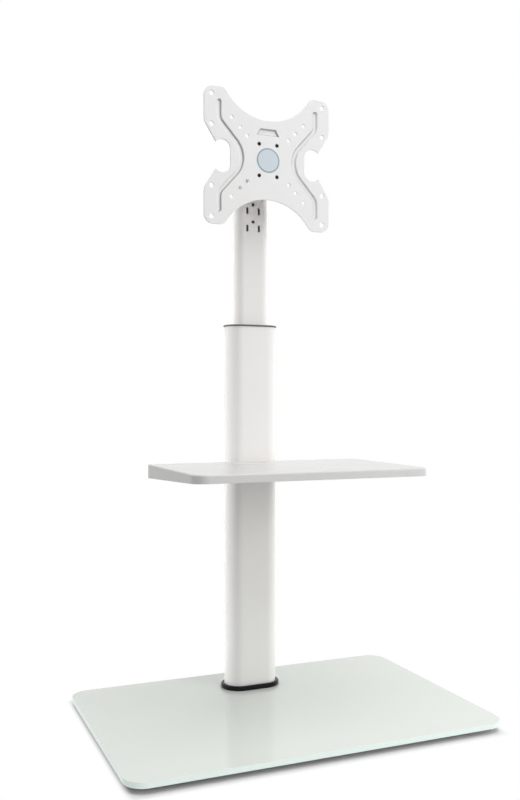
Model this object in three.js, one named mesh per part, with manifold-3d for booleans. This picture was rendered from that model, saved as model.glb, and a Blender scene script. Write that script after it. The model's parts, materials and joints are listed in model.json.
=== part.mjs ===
// A floor stand for a television: glass base, telescoping flat-oval column, shelf and swivelling plate.
// Millimetres, +Z up, -Y to the front. The origin is on the floor under the middle of the glass.
import * as THREE from 'three';
import { mergeVertices } from 'three/addons/utils/BufferGeometryUtils.js';
import Module from 'manifold-3d';

const wasm = await Module();
wasm.setup();

// Clearance between pieces, overrun of every cutter, and the distance within which vertices are one
const fitGap = 0.3;
const overrun = 6;
const weldDistance = 0.0001;

// Counts of facets; three.js gives an arc twice its steps
const arcSteps = 6;
const smallArcSteps = 4;
const plateArcSteps = 3;
const slotArcSteps = 2;
const drumSteps = 16;
const holeSteps = 12;
const easeSteps = 2;

// Glass base
const baseWidth = 600;
const baseDepth = 400;
const baseCorner = 30;
const glassThick = 8;
const glassBevel = 1;
const glassHoleRadius = 6;

// Foot pads under the glass
const footHeight = 9;
const footRadius = 17;
const footBevel = 1.5;
const footInset = 42;
const footRows = 3;

// Column place, measured from its axis to the glass's rear edge
const columnRearMargin = 78;

// Upper column, the inner tube
const upperWidth = 62;
const upperDepth = 30;
const upperWall = 2;
const upperLength = 470;
const upperInsert = 150;

// Lower column, the outer tube, by its step out from the inner one
const stepWidth = 15;
const stepDepth = 10;
const lowerWall = 2;
const lowerLength = 622;
const columnFootHeight = 12;

// Foot ring round the column
const ringRim = 6;
const ringHeight = 7;
const ringFloor = 2;
const ringEase = 3;

// Base bolts, by their distance in from the tube's inner faces
const baseBoltRadius = 4;
const baseBoltInsetX = 16;
const baseBoltInsetY = 12;
const baseBoltHeadRadius = 7;
const baseBoltHeadHeight = 2.6;
const baseBoltReach = 8;
const baseSocketAcross = 5;
const baseSocketDepth = 1.5;

// Steel plate and gasket that clamp the column from below
const underPlateRimX = 49;
const underPlateRimY = 35;
const underPlateCorner = 12;
const underPlateThick = 2.5;
const gasketThick = 0.8;

// Cable holes in the rear walls, and their grommets: one near the floor, one below the shelf, one above
const lowCableRise = 75;
const highCableDrop = 69.4;
const lowerCableWidth = 26;
const lowerCableHeight = 50;
const upperCableDrop = 180;
const upperCableWidth = 18;
const upperCableHeight = 40;
const grommetWall = 1.7;
const grommetLip = 3;
const grommetLipThick = 1.6;

// Collar in the lower column's mouth
const collarDepth = 40;
const collarRim = 2;
const collarFlangeThick = 2.5;
const collarEase = 0.8;

// Lock screws and square nuts at the rear of the collar
const lockScrewRadius = 3;
const lockScrewSpan = 24;
const lockScrewDrop = 18;
const lockHeadRadius = 5;
const lockHeadHeight = 6;
const lockSocketAcross = 5;
const lockSocketDepth = 3;
const lockNutAcross = 10;
const lockNutThick = 4;
const screwEase = 0.4;

// Sets of one round hole over two upright slots in the upper column's front wall
const setCount = 5;
const setPitch = 30;
const setTopDrop = 18;
const setHoleRadius = 3;
const slotSpan = 21.6;
const slotWidth = 4;
const slotHeight = 12;
const slotBelowHole = 11.3;

// Guide on the upper column's lower end, and the cap on its top
const guideHeight = 30;
const guideSocket = 22;
const guideLedge = 2.5;
const capThick = 3;
const capPlug = 12;
const capEase = 1;

// Bracket that hangs on the upper column
const bracketWidth = 46;
const bracketThick = 3;
const pivotReach = 30;
const earRadius = 13;
const earMargin = 2.4;
const hookNeck = 6;
const hookDrop = 3.5;
const hookThick = 2.4;
const bracketBoltRadius = 2.5;
const bracketBoltHeadRadius = 4.6;
const bracketBoltHeadHeight = 3.4;
const bracketBoltReach = 9;
const bracketSocketAcross = 3;
const bracketSocketDepth = 1.8;

// Pivot bolt, its nut and its washers
const pivotRadius = 4;
const pivotHeadAcross = 13;
const pivotHeadHeight = 5.3;
const pivotTail = 3;
const nutHeight = 6.5;
const nutCrownHeight = 2;
const nutCrownRadius = 5.5;
const steelWasherRadius = 9;
const steelWasherThick = 1.6;
const frictionWasherRadius = 12;
const frictionWasherThick = 1.2;

// Swivel head
const headReach = 36;
const headThick = 3;
const headBend = 4;

// Television plate
const plateThick = 3;
const plateEase = 0.7;
const plateMarginX = 13;
const plateMarginZ = 12.5;
const plateCorner = 16;
const plateInnerCorner = 14;
const bayRadius = 88;
const bayBridge = 13.2;
const sideRise = 27;
const sideEase = 7;
const notchClear = 20;
const notchHalfHeight = 27;
const notchRadius = 14.5;
const notchTipAngle = 0.7;

// Holes for the television's screws, at half their spacing
const wideHole = 100;
const middleHole = 50;
const narrowHole = 37.5;
const diagonalHole = 65;
const wideHoleRadius = 4.2;
const narrowHoleRadius = 3.2;

// Screws that fix the plate to the swivel head
const plateScrewX = 16;
const plateScrewEdgeX = 15;
const plateScrewEdgeZ = 5.9;
const plateScrewRadius = 1.7;
const plateScrewHeadRadius = 2.8;
const plateScrewHeadHeight = 1.7;
const plateScrewTail = 1.5;

// Pressed grooves and pocket in the plate
const grooveWidth = 8.5;
const grooveDepth = 1.8;
const grooveDraft = 1.4;
const grooveEdge = 26;
const grooveClear = 16;
const grooveEndDrop = 28.5;
const grooveWaistRadius = 40;
const grooveKneeRadius = 18;
const grooveSlantAngle = 0.733;
const pocketRise = 5.8;
const pocketHeight = 11.5;
const pocketTopWidth = 28;
const pocketBottomWidth = 41;

// Shelf tray, hung below the upper column's lower end and clear of its slide
const shelfWidth = 384;
const shelfDepth = 250;
const shelfDrop = 82.6;
const shelfThick = 2;
const shelfEase = 1.6;
const shelfFrontCorner = 22;
const shelfRearCorner = 6;
const shelfRearFlange = 23;
const shelfFrontFlange = 12.5;

// Channel under the shelf, with its bolts and nut plate
const shelfBoltSpan = 28;
const shelfBoltDrop = 11;
const shelfBoltRadius = 3;
const shelfBoltHeadRadius = 5;
const shelfBoltHeadHeight = 3;
const shelfSocketAcross = 4;
const shelfSocketDepth = 1.8;
const channelRim = 23;
const channelLength = 190;
const channelDepth = 17;
const channelTailDepth = 7;
const channelThick = 2.5;
const nutPlateRim = 6;
const nutPlateHeight = 18;
const nutPlateThick = 4;

// Widths, depths and levels that follow; depths are measured from the column's axis
const lowerWidth = upperWidth + 2 * stepWidth;
const lowerDepth = upperDepth + 2 * stepDepth;
const lowerInnerWidth = lowerWidth - 2 * lowerWall;
const lowerInnerDepth = lowerDepth - 2 * lowerWall;
const upperInnerWidth = upperWidth - 2 * upperWall;
const upperInnerDepth = upperDepth - 2 * upperWall;
const columnSetback = baseDepth / 2 - columnRearMargin;
const baseBoltSpanX = lowerInnerWidth - 2 * baseBoltInsetX;
const baseBoltSpanY = lowerInnerDepth - 2 * baseBoltInsetY;
const glassTop = footHeight + glassThick;
const ringBottom = glassTop + fitGap;
const tubeBottom = ringBottom + ringFloor + fitGap;
const lowerTop = tubeBottom + lowerLength;
const upperBottom = lowerTop - upperInsert;
const upperTop = upperBottom + upperLength;
const lowerFront = -lowerDepth / 2;
const lowerRear = lowerDepth / 2;
const upperFront = -upperDepth / 2;
const upperRear = upperDepth / 2;
const shelfLevel = upperBottom - shelfDrop;
const lowerCableLevels = [tubeBottom + lowCableRise, shelfLevel - highCableDrop];
const upperCableLevel = upperTop - upperCableDrop;
const lockLevel = lowerTop - lockScrewDrop;
const collarRear = lowerInnerDepth / 2 - fitGap;
const setTops = Array.from({ length: setCount }, (_, i) => upperTop - setTopDrop - i * setPitch);

// Levels of the mount are measured from the middle of its bracket, at the second hole from the top
const mountLevel = setTops[1];
const bracketBack = upperFront - fitGap;
const bracketFront = bracketBack - bracketThick;
const earInner = setPitch + bracketBoltHeadRadius + earMargin;
const earOuter = earInner + bracketThick;
const pivotY = upperFront - pivotReach;
const headHalf = earInner - 2 * fitGap - frictionWasherThick;
const headWidth = 2 * (plateScrewX + plateScrewEdgeX);
const plateFront = pivotY - headReach;
const plateBack = plateFront + plateThick;
const headFront = plateBack + fitGap;
const headBack = headFront + headThick;
const plateScrewZ = headHalf - headThick - plateScrewEdgeZ;
const plateHalfWidth = wideHole + plateMarginX;
const plateHalfHeight = wideHole + plateMarginZ;
const pocketBottomZ = headHalf + pocketRise;
const pocketTopZ = pocketBottomZ + pocketHeight;
const bayWaist = pocketTopZ + bayBridge;
const grooveWaistX = headWidth / 2 + grooveClear;
const grooveArmX = plateHalfWidth - grooveEdge;
const grooveEndZ = plateHalfHeight - grooveEndDrop;
const grooveTurns = grooveWaistRadius + grooveKneeRadius;
const grooveSlantX = grooveArmX - grooveWaistX - grooveTurns * (1 - Math.cos(grooveSlantAngle));
const grooveKneeZ = grooveTurns * Math.sin(grooveSlantAngle) + grooveSlantX / Math.tan(grooveSlantAngle);
const notchReach = grooveWaistX + notchClear;

// Levels and depths of the shelf's pieces
const shelfBack = lowerFront - fitGap;
const shelfFlangeFront = shelfBack - shelfThick;
const shelfUnder = shelfLevel - shelfThick;
const shelfBoltLevel = shelfLevel - shelfBoltDrop;
const channelBack = shelfFlangeFront - fitGap;
const channelTop = shelfUnder - fitGap;

// Colours of the finishes
const whitePaint = new THREE.MeshStandardMaterial({ color: 0xeeeeea, roughness: 0.35 });
const paleGlass = new THREE.MeshStandardMaterial({ color: 0xdfe6df, roughness: 0.05 });
const blackGloss = new THREE.MeshStandardMaterial({ color: 0x101010, roughness: 0.15 });
const darkPlastic = new THREE.MeshStandardMaterial({ color: 0x3a3b3d, roughness: 0.5 });
const blackRubber = new THREE.MeshStandardMaterial({ color: 0x1a1a1a, roughness: 0.9 });
const zincSteel = new THREE.MeshStandardMaterial({ color: 0xb8babd, roughness: 0.35, metalness: 1 });
const blackSteel = new THREE.MeshStandardMaterial({ color: 0x151515, roughness: 0.4, metalness: 0.6 });
const paleNylon = new THREE.MeshStandardMaterial({ color: 0xe4e0d4, roughness: 0.6 });

// The column and the mount have groups of their own, so their pieces are drawn about their own middles
const stand = new THREE.Group();
const column = new THREE.Group();
column.position.set(0, columnSetback, 0);
stand.add(column);
const mount = new THREE.Group();
mount.position.set(0, 0, mountLevel);
column.add(mount);

// A closed geometry becomes a solid once its vertices are shared and its empty triangles are gone
function solid(geometry) {
  const bare = geometry.clone();
  bare.deleteAttribute('normal');
  bare.deleteAttribute('uv');
  const merged = mergeVertices(bare, weldDistance);
  const corners = [];
  const index = merged.index.array;
  for (let i = 0; i < index.length; i += 3) {
    const [a, b, c] = [index[i], index[i + 1], index[i + 2]];
    if (a !== b && b !== c && c !== a) corners.push(a, b, c);
  }
  return new wasm.Manifold(new wasm.Mesh({
    numProp: 3,
    vertProperties: new Float32Array(merged.attributes.position.array),
    triVerts: new Uint32Array(corners),
  }));
}

function joined(first, ...others) {
  return others.reduce((whole, other) => whole.add(other), first);
}

function cut(first, ...others) {
  return others.reduce((whole, other) => whole.subtract(other), first);
}

function place(group, name, body, material) {
  const made = body.getMesh();
  const shared = new THREE.BufferGeometry();
  shared.setAttribute('position', new THREE.BufferAttribute(new Float32Array(made.vertProperties), 3));
  shared.setIndex(new THREE.BufferAttribute(new Uint32Array(made.triVerts), 1));
  const geometry = shared.toNonIndexed();
  geometry.computeVertexNormals();
  const mesh = new THREE.Mesh(geometry, material);
  mesh.name = name;
  group.add(mesh);
  return mesh;
}

// Prisms stand on z = 0
function prism(shape, height, steps = arcSteps) {
  return new THREE.ExtrudeGeometry(shape, {
    depth: height,
    bevelEnabled: false,
    curveSegments: steps,
  });
}

// A prism whose top and bottom edges are eased inwards
function easedPrism(shape, height, ease, bevelSteps = 1, steps = arcSteps) {
  const geometry = new THREE.ExtrudeGeometry(shape, {
    depth: height - 2 * ease,
    bevelThickness: ease,
    bevelSize: ease,
    bevelOffset: -ease,
    bevelSegments: bevelSteps,
    curveSegments: steps,
  });
  return geometry.translate(0, 0, ease);
}

function block(width, depth, height) {
  return new THREE.BoxGeometry(width, depth, height).translate(0, 0, height / 2);
}

function drum(radius, height, steps = drumSteps) {
  return new THREE.CylinderGeometry(radius, radius, height, steps)
    .rotateX(Math.PI / 2)
    .translate(0, 0, height / 2);
}

// A hole's cutter, whose flats lie at the hole's true radius
function bore(radius, height) {
  return drum(radius / Math.cos(Math.PI / holeSteps), height, holeSteps);
}

function hexBar(across, height) {
  return drum(across / Math.sqrt(3), height, 6);
}

// A round head standing on z = 0, eased round its upper rim
function easedDrum(radius, height, ease) {
  const profile = [[0, 0], [radius, 0], [radius, height - ease], [radius - ease, height], [0, height]];
  return new THREE.LatheGeometry(profile.map(([r, y]) => new THREE.Vector2(r, y)), drumSteps)
    .rotateX(Math.PI / 2);
}

// Lays down what was drawn standing, with its top to the rear or to the front
function towardsRear(geometry) {
  return geometry.rotateX(-Math.PI / 2);
}

function towardsFront(geometry) {
  return geometry.rotateX(Math.PI / 2);
}

// Outlines
function flatOval(width, depth) {
  const radius = depth / 2;
  const middle = width / 2 - radius;
  const shape = new THREE.Shape();
  shape.absarc(middle, 0, radius, -Math.PI / 2, Math.PI / 2, false);
  shape.absarc(-middle, 0, radius, Math.PI / 2, 3 * Math.PI / 2, false);
  shape.closePath();
  return shape;
}

function uprightOval(width, height) {
  const radius = width / 2;
  const middle = height / 2 - radius;
  const shape = new THREE.Shape();
  shape.absarc(0, middle, radius, 0, Math.PI, false);
  shape.absarc(0, -middle, radius, Math.PI, 2 * Math.PI, false);
  shape.closePath();
  return shape;
}

function roundedBox(width, depth, frontRadius, rearRadius) {
  const x = width / 2;
  const y = depth / 2;
  const shape = new THREE.Shape();
  shape.absarc(x - frontRadius, frontRadius - y, frontRadius, -Math.PI / 2, 0, false);
  shape.absarc(x - rearRadius, y - rearRadius, rearRadius, 0, Math.PI / 2, false);
  shape.absarc(rearRadius - x, y - rearRadius, rearRadius, Math.PI / 2, Math.PI, false);
  shape.absarc(frontRadius - x, frontRadius - y, frontRadius, Math.PI, 3 * Math.PI / 2, false);
  shape.closePath();
  return shape;
}

// Signs of the four quarters of a rectangle
const quarters = [[-1, -1], [1, -1], [1, 1], [-1, 1]];
const sides = [-1, 1];

// One upright cutter at each base bolt, from below the floor to above the column's foot
function baseBoltHoles(radius) {
  const height = tubeBottom + columnFootHeight + 2 * overrun;
  return quarters.map(([sx, sy]) => solid(bore(radius, height)
    .translate(sx * baseBoltSpanX / 2, sy * baseBoltSpanY / 2, -overrun)));
}

// Glass base, polished round its edges and drilled for the base bolts
function makeGlass() {
  const outline = roundedBox(baseWidth, baseDepth, baseCorner, baseCorner);
  const slab = solid(easedPrism(outline, glassThick, glassBevel)
    .translate(0, -columnSetback, footHeight));
  place(column, 'glass_base', cut(slab, ...baseBoltHoles(glassHoleRadius)), paleGlass);
}

// Rubber pads along the two short edges of the glass
function makeFeet() {
  const height = footHeight - fitGap;
  const reachX = baseWidth / 2 - footInset;
  const reachY = baseDepth / 2 - footInset;
  sides.forEach((side, i) => {
    for (let row = 0; row < footRows; row += 1) {
      const pad = solid(easedDrum(footRadius, height, footBevel).rotateX(Math.PI));
      place(stand, `foot_pad_${i * footRows + row + 1}`, pad, blackRubber)
        .position.set(side * reachX, -reachY + row * 2 * reachY / (footRows - 1), height);
    }
  });
}

// Gasket and steel plate under the glass, then the bolts that come up through them
function makeUnderside() {
  const gasketBottom = footHeight - fitGap - gasketThick;
  const plateBottom = gasketBottom - fitGap - underPlateThick;
  const outline = roundedBox(lowerWidth + 2 * underPlateRimX, lowerDepth + 2 * underPlateRimY,
    underPlateCorner, underPlateCorner);
  const holes = baseBoltHoles(baseBoltRadius + fitGap);
  const gasket = solid(prism(outline, gasketThick, smallArcSteps).translate(0, 0, gasketBottom));
  const plate = solid(prism(outline, underPlateThick, smallArcSteps).translate(0, 0, plateBottom));
  place(column, 'under_gasket', cut(gasket, ...holes), blackRubber);
  place(column, 'under_plate', cut(plate, ...holes), zincSteel);

  const headTop = plateBottom - fitGap;
  const headBottom = headTop - baseBoltHeadHeight;
  const shankLength = tubeBottom + baseBoltReach - headTop;
  const bushBottom = footHeight;
  quarters.forEach(([sx, sy], i) => {
    const bush = cut(
      solid(drum(glassHoleRadius - fitGap, glassThick)),
      solid(bore(baseBoltRadius + fitGap, glassThick + 2 * overrun).translate(0, 0, -overrun)));
    const bolt = cut(
      joined(
        solid(drum(baseBoltHeadRadius, baseBoltHeadHeight)),
        solid(drum(baseBoltRadius, baseBoltHeadHeight + shankLength))),
      solid(hexBar(baseSocketAcross, baseSocketDepth + overrun).translate(0, 0, -overrun)));
    const x = sx * baseBoltSpanX / 2;
    const y = sy * baseBoltSpanY / 2;
    place(column, `glass_bush_${i + 1}`, bush, paleNylon).position.set(x, y, bushBottom);
    place(column, `base_bolt_${i + 1}`, bolt, zincSteel).position.set(x, y, headBottom);
  });
}

// Black ring: an eased oval tray that the column stands in
function makeRing() {
  const outerWidth = lowerWidth + 2 * ringRim;
  const outline = flatOval(outerWidth, lowerDepth + 2 * ringRim);
  const tall = solid(easedPrism(outline, 2 * ringHeight, ringEase, easeSteps)
    .translate(0, 0, ringBottom - ringHeight));
  const below = solid(block(2 * outerWidth, 2 * outerWidth, 2 * ringHeight)
    .translate(0, 0, ringBottom - 2 * ringHeight));
  const recess = solid(prism(flatOval(lowerWidth + 2 * fitGap, lowerDepth + 2 * fitGap),
    ringHeight + overrun).translate(0, 0, ringBottom + ringFloor));
  place(column, 'foot_ring', cut(tall, below, recess, ...baseBoltHoles(baseBoltRadius + fitGap)),
    blackGloss);
}

// Tapped steel block welded in the lower end of the column
function makeColumnFoot() {
  const outline = flatOval(lowerInnerWidth - 2 * fitGap, lowerInnerDepth - 2 * fitGap);
  const foot = solid(prism(outline, columnFootHeight).translate(0, 0, tubeBottom));
  place(column, 'column_foot', cut(foot, ...baseBoltHoles(baseBoltRadius + fitGap)), zincSteel);
}

// A flat-oval tube standing on z = 0
function tube(width, depth, wall, length) {
  return cut(
    solid(prism(flatOval(width, depth), length)),
    solid(prism(flatOval(width - 2 * wall, depth - 2 * wall), length + 2 * overrun)
      .translate(0, 0, -overrun)));
}

// An upright oval cutter through a tube's rear wall
function rearOpening(width, height, rear, wall, level) {
  return solid(towardsRear(prism(uprightOval(width, height), wall + 2 * overrun, smallArcSteps))
    .translate(0, rear - wall - overrun, level));
}

// Lower column with its cable holes, lock screw holes and shelf bolt holes
function makeLowerColumn() {
  const openings = lowerCableLevels.map((level) => rearOpening(
    lowerCableWidth, lowerCableHeight, lowerRear, lowerWall, level));
  for (const side of sides) {
    openings.push(solid(towardsRear(bore(lockScrewRadius + fitGap, lowerWall + 2 * overrun))
      .translate(side * lockScrewSpan / 2, lowerRear - lowerWall - overrun, lockLevel)));
    openings.push(solid(towardsFront(bore(shelfBoltRadius + fitGap, lowerWall + 2 * overrun))
      .translate(side * shelfBoltSpan / 2, lowerFront + lowerWall + overrun, shelfBoltLevel)));
  }
  const body = tube(lowerWidth, lowerDepth, lowerWall, lowerLength).translate([0, 0, tubeBottom]);
  place(column, 'lower_column', cut(body, ...openings), whitePaint);
}

// Grommet: an oval neck through the wall, with a lip outside it
function makeGrommet(name, width, height, rear, wall, level) {
  const neckWidth = width - 2 * fitGap;
  const neckHeight = height - 2 * fitGap;
  const neckLength = wall + fitGap + grommetLipThick;
  const neck = solid(towardsRear(prism(uprightOval(neckWidth, neckHeight), neckLength,
    smallArcSteps)));
  const lip = solid(towardsRear(easedPrism(
    uprightOval(width + 2 * grommetLip, height + 2 * grommetLip),
    2 * grommetLipThick, grommetLipThick / 2, 1, smallArcSteps))
    .translate(0, wall + fitGap - grommetLipThick, 0));
  const behind = solid(block(2 * height, wall + fitGap + overrun, 2 * height)
    .translate(0, (wall + fitGap - overrun) / 2, -height));
  const duct = solid(towardsRear(prism(
    uprightOval(neckWidth - 2 * grommetWall, neckHeight - 2 * grommetWall),
    neckLength + 2 * overrun, smallArcSteps)).translate(0, -overrun, 0));
  place(column, name, cut(joined(cut(lip, behind), neck), duct), blackRubber)
    .position.set(0, rear - wall, level);
}

// Collar: a bush in the tube's mouth with a dark flange over the rim and pockets for the lock nuts
function makeCollar() {
  const bodyOutline = flatOval(lowerInnerWidth - 2 * fitGap, lowerInnerDepth - 2 * fitGap);
  const body = solid(prism(bodyOutline, collarDepth + fitGap + collarFlangeThick / 2)
    .translate(0, 0, lowerTop - collarDepth));
  const flange = solid(easedPrism(
    flatOval(lowerWidth + 2 * collarRim, lowerDepth + 2 * collarRim),
    collarFlangeThick, collarEase).translate(0, 0, lowerTop + fitGap));
  const mouth = solid(prism(flatOval(upperWidth + 2 * fitGap, upperDepth + 2 * fitGap),
    collarDepth + collarFlangeThick + 2 * overrun).translate(0, 0, lowerTop - collarDepth - overrun));
  const pocketAcross = lockNutAcross + 2 * fitGap;
  const pocketDepth = lockNutThick + 2 * fitGap;
  const recesses = [];
  for (const side of sides) {
    const x = side * lockScrewSpan / 2;
    recesses.push(solid(block(pocketAcross, pocketDepth + overrun, pocketAcross)
      .translate(x, collarRear + (overrun - pocketDepth) / 2, lockLevel - pocketAcross / 2)));
    recesses.push(solid(towardsRear(bore(lockScrewRadius + fitGap, lowerDepth / 2))
      .translate(x, 0, lockLevel)));
  }
  place(column, 'collar', cut(joined(body, flange), mouth, ...recesses), darkPlastic);
}

// Square nuts in the collar's pockets, and the screws that clamp the upper column through them
function makeLockScrews() {
  const tip = upperRear + fitGap;
  const headStart = lowerRear + fitGap;
  const shankLength = headStart - tip + lockHeadHeight / 2;
  sides.forEach((side, i) => {
    const x = side * lockScrewSpan / 2;
    const nut = cut(
      solid(block(lockNutAcross, lockNutThick, lockNutAcross).translate(0, 0, -lockNutAcross / 2)),
      solid(towardsRear(bore(lockScrewRadius + fitGap, lockNutThick + 2 * overrun))
        .translate(0, -lockNutThick / 2 - overrun, 0)));
    const screw = cut(
      joined(
        solid(towardsRear(drum(lockScrewRadius, shankLength, holeSteps))),
        solid(towardsRear(easedDrum(lockHeadRadius, lockHeadHeight, screwEase))
          .translate(0, headStart - tip, 0))),
      solid(towardsRear(hexBar(lockSocketAcross, lockSocketDepth + overrun))
        .translate(0, headStart - tip + lockHeadHeight - lockSocketDepth, 0)));
    place(column, `lock_nut_${i + 1}`, nut, zincSteel)
      .position.set(x, collarRear - fitGap - lockNutThick / 2, lockLevel);
    place(column, `lock_screw_${i + 1}`, screw, zincSteel).position.set(x, tip, lockLevel);
  });
}

// Upper column, with its hole sets in front and a cable hole behind
function makeUpperColumn() {
  const openings = [rearOpening(upperCableWidth, upperCableHeight, upperRear, upperWall, upperCableLevel)];
  const start = upperFront + upperWall + overrun;
  for (const top of setTops) {
    openings.push(solid(towardsFront(bore(setHoleRadius, upperWall + 2 * overrun))
      .translate(0, start, top)));
    for (const side of sides) {
      openings.push(solid(towardsFront(
        prism(uprightOval(slotWidth, slotHeight), upperWall + 2 * overrun, slotArcSteps))
        .translate(side * slotSpan / 2, start, top - slotBelowHole)));
    }
  }
  const body = tube(upperWidth, upperDepth, upperWall, upperLength).translate([0, 0, upperBottom]);
  place(column, 'upper_column', cut(body, ...openings), whitePaint);
}

// Guide that carries the upper column's lower end inside the lower one
function makeGuide() {
  const guideBottom = upperBottom + guideSocket - guideHeight;
  const outline = flatOval(lowerInnerWidth - 2 * fitGap, lowerInnerDepth - 2 * fitGap);
  const outer = solid(prism(outline, guideHeight).translate(0, 0, guideBottom));
  const socket = solid(prism(flatOval(upperWidth + 2 * fitGap, upperDepth + 2 * fitGap),
    guideSocket + overrun).translate(0, 0, upperBottom - fitGap));
  const duct = solid(prism(flatOval(upperInnerWidth - 2 * guideLedge, upperInnerDepth - 2 * guideLedge),
    guideHeight + 2 * overrun).translate(0, 0, guideBottom - overrun));
  place(column, 'lower_guide', cut(outer, socket, duct), darkPlastic);
}

// Cap plugged in the upper column's top
function makeCap() {
  const lid = solid(easedPrism(flatOval(upperWidth, upperDepth), capThick, capEase)
    .translate(0, 0, upperTop + fitGap));
  const plug = solid(prism(flatOval(upperInnerWidth - 2 * fitGap, upperInnerDepth - 2 * fitGap),
    capPlug + fitGap + capThick / 2).translate(0, 0, upperTop - capPlug));
  place(column, 'top_cap', joined(lid, plug), darkPlastic);
}

// A lug seen from above: straight from its plate, then round about the pivot
function lugOutline(width, plateY, bendY) {
  const lead = new THREE.Vector2(width / 2, bendY - pivotY);
  const behind = bendY > pivotY;
  const turn = Math.acos(earRadius / lead.length());
  const slant = Math.atan2(lead.y, lead.x) + (behind ? -turn : turn);
  const shape = new THREE.Shape();
  shape.moveTo(width / 2, plateY);
  shape.lineTo(width / 2, bendY);
  shape.absarc(0, pivotY, earRadius, slant, Math.PI - slant, behind);
  shape.lineTo(-width / 2, bendY);
  shape.lineTo(-width / 2, plateY);
  shape.closePath();
  return shape;
}

// Hook through a slot: a neck in the wall and a lip that hangs down behind it
function hookAt(x, slotMiddle) {
  const width = slotWidth - 2 * fitGap;
  const neckBottom = slotMiddle - slotHeight / 2 + fitGap;
  const lipFront = upperFront + upperWall + fitGap;
  const neckLength = lipFront + hookThick - bracketFront;
  const neck = solid(towardsRear(prism(uprightOval(width, hookNeck), neckLength, slotArcSteps))
    .translate(x, bracketFront, neckBottom + hookNeck / 2));
  const lip = solid(block(width, hookThick, hookNeck + hookDrop)
    .translate(x, lipFront + hookThick / 2, neckBottom - hookDrop));
  return joined(neck, lip);
}

function pivotHole() {
  return solid(bore(pivotRadius + fitGap, 2 * (earOuter + overrun))
    .translate(0, pivotY, -earOuter - overrun));
}

// Bracket: a folded steel channel with two ears for the pivot and four hooks behind
function makeBracket() {
  const back = solid(block(bracketWidth, bracketThick, 2 * earOuter)
    .translate(0, (bracketBack + bracketFront) / 2, -earOuter));
  const outline = lugOutline(bracketWidth, bracketBack, bracketFront);
  const ears = [earInner, -earOuter].map((z) => solid(prism(outline, bracketThick).translate(0, 0, z)));
  const hooks = setTops.slice(0, 2).flatMap((top) => sides.map((side) => hookAt(
    side * slotSpan / 2, top - slotBelowHole - mountLevel)));
  const boltHoles = sides.map((side) => solid(
    towardsFront(bore(bracketBoltRadius + fitGap, bracketThick + 2 * overrun))
      .translate(0, bracketBack + overrun, side * setPitch)));
  place(mount, 'column_bracket', cut(joined(back, ...ears, ...hooks), pivotHole(), ...boltHoles),
    whitePaint);

  const headStart = bracketFront - fitGap;
  sides.forEach((side, i) => {
    const bolt = cut(
      joined(
        solid(towardsRear(drum(bracketBoltRadius, bracketBoltReach + bracketBoltHeadHeight / 2, holeSteps))
          .translate(0, -bracketBoltHeadHeight / 2, 0)),
        solid(towardsFront(easedDrum(bracketBoltHeadRadius, bracketBoltHeadHeight, screwEase)))),
      solid(towardsFront(hexBar(bracketSocketAcross, bracketSocketDepth + overrun))
        .translate(0, bracketSocketDepth - bracketBoltHeadHeight, 0)));
    place(mount, `bracket_bolt_${i + 1}`, bolt, zincSteel).position.set(0, headStart, side * setPitch);
  });
}

function washer(radius, thick) {
  return cut(
    solid(drum(radius, thick)),
    solid(bore(pivotRadius + fitGap, thick + 2 * overrun).translate(0, 0, -overrun)));
}

// Pivot bolt through both ears, with steel washers outside and friction washers inside
function makePivot() {
  const steelTop = earOuter + fitGap;
  const steelBottom = -steelTop - steelWasherThick;
  const frictionTop = earInner - fitGap - frictionWasherThick;
  const frictionBottom = -earInner + fitGap;
  [steelTop, steelBottom].forEach((z, i) => {
    place(mount, `steel_washer_${i + 1}`, washer(steelWasherRadius, steelWasherThick), zincSteel)
      .position.set(0, pivotY, z);
  });
  [frictionTop, frictionBottom].forEach((z, i) => {
    place(mount, `friction_washer_${i + 1}`, washer(frictionWasherRadius, frictionWasherThick), paleNylon)
      .position.set(0, pivotY, z);
  });
  const boltHeadBottom = steelTop + steelWasherThick + fitGap;
  const nutBottom = steelBottom - fitGap - nutHeight;
  const tip = nutBottom - nutCrownHeight - pivotTail;
  const bolt = joined(
    solid(hexBar(pivotHeadAcross, pivotHeadHeight).translate(0, 0, boltHeadBottom)),
    solid(drum(pivotRadius, boltHeadBottom - tip + pivotHeadHeight / 2).translate(0, 0, tip)));
  place(mount, 'pivot_bolt', bolt, zincSteel).position.set(0, pivotY, 0);
  const nut = cut(
    joined(
      solid(hexBar(pivotHeadAcross, nutHeight)),
      solid(drum(nutCrownRadius, nutCrownHeight + nutHeight / 2).translate(0, 0, -nutCrownHeight))),
    solid(bore(pivotRadius + fitGap, nutHeight + nutCrownHeight + 2 * overrun)
      .translate(0, 0, -nutCrownHeight - overrun)));
  place(mount, 'pivot_nut', nut, zincSteel).position.set(0, pivotY, nutBottom);
}

// Swivel head: a channel that turns between the ears and carries the television plate
function makeHead() {
  const face = solid(block(headWidth, headThick, 2 * headHalf)
    .translate(0, headFront + headThick / 2, -headHalf));
  const outline = lugOutline(headWidth, headFront, headBack + headBend);
  const flanges = [headHalf - headThick, -headHalf].map((z) => solid(
    prism(outline, headThick).translate(0, 0, z)));
  const screwHoles = quarters.map(([sx, sz]) => solid(
    towardsRear(bore(plateScrewRadius + fitGap, headThick + 2 * overrun))
      .translate(sx * plateScrewX, headFront - overrun, sz * plateScrewZ)));
  place(mount, 'swivel_head', cut(joined(face, ...flanges), pivotHole(), ...screwHoles), whitePaint);
}

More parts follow.
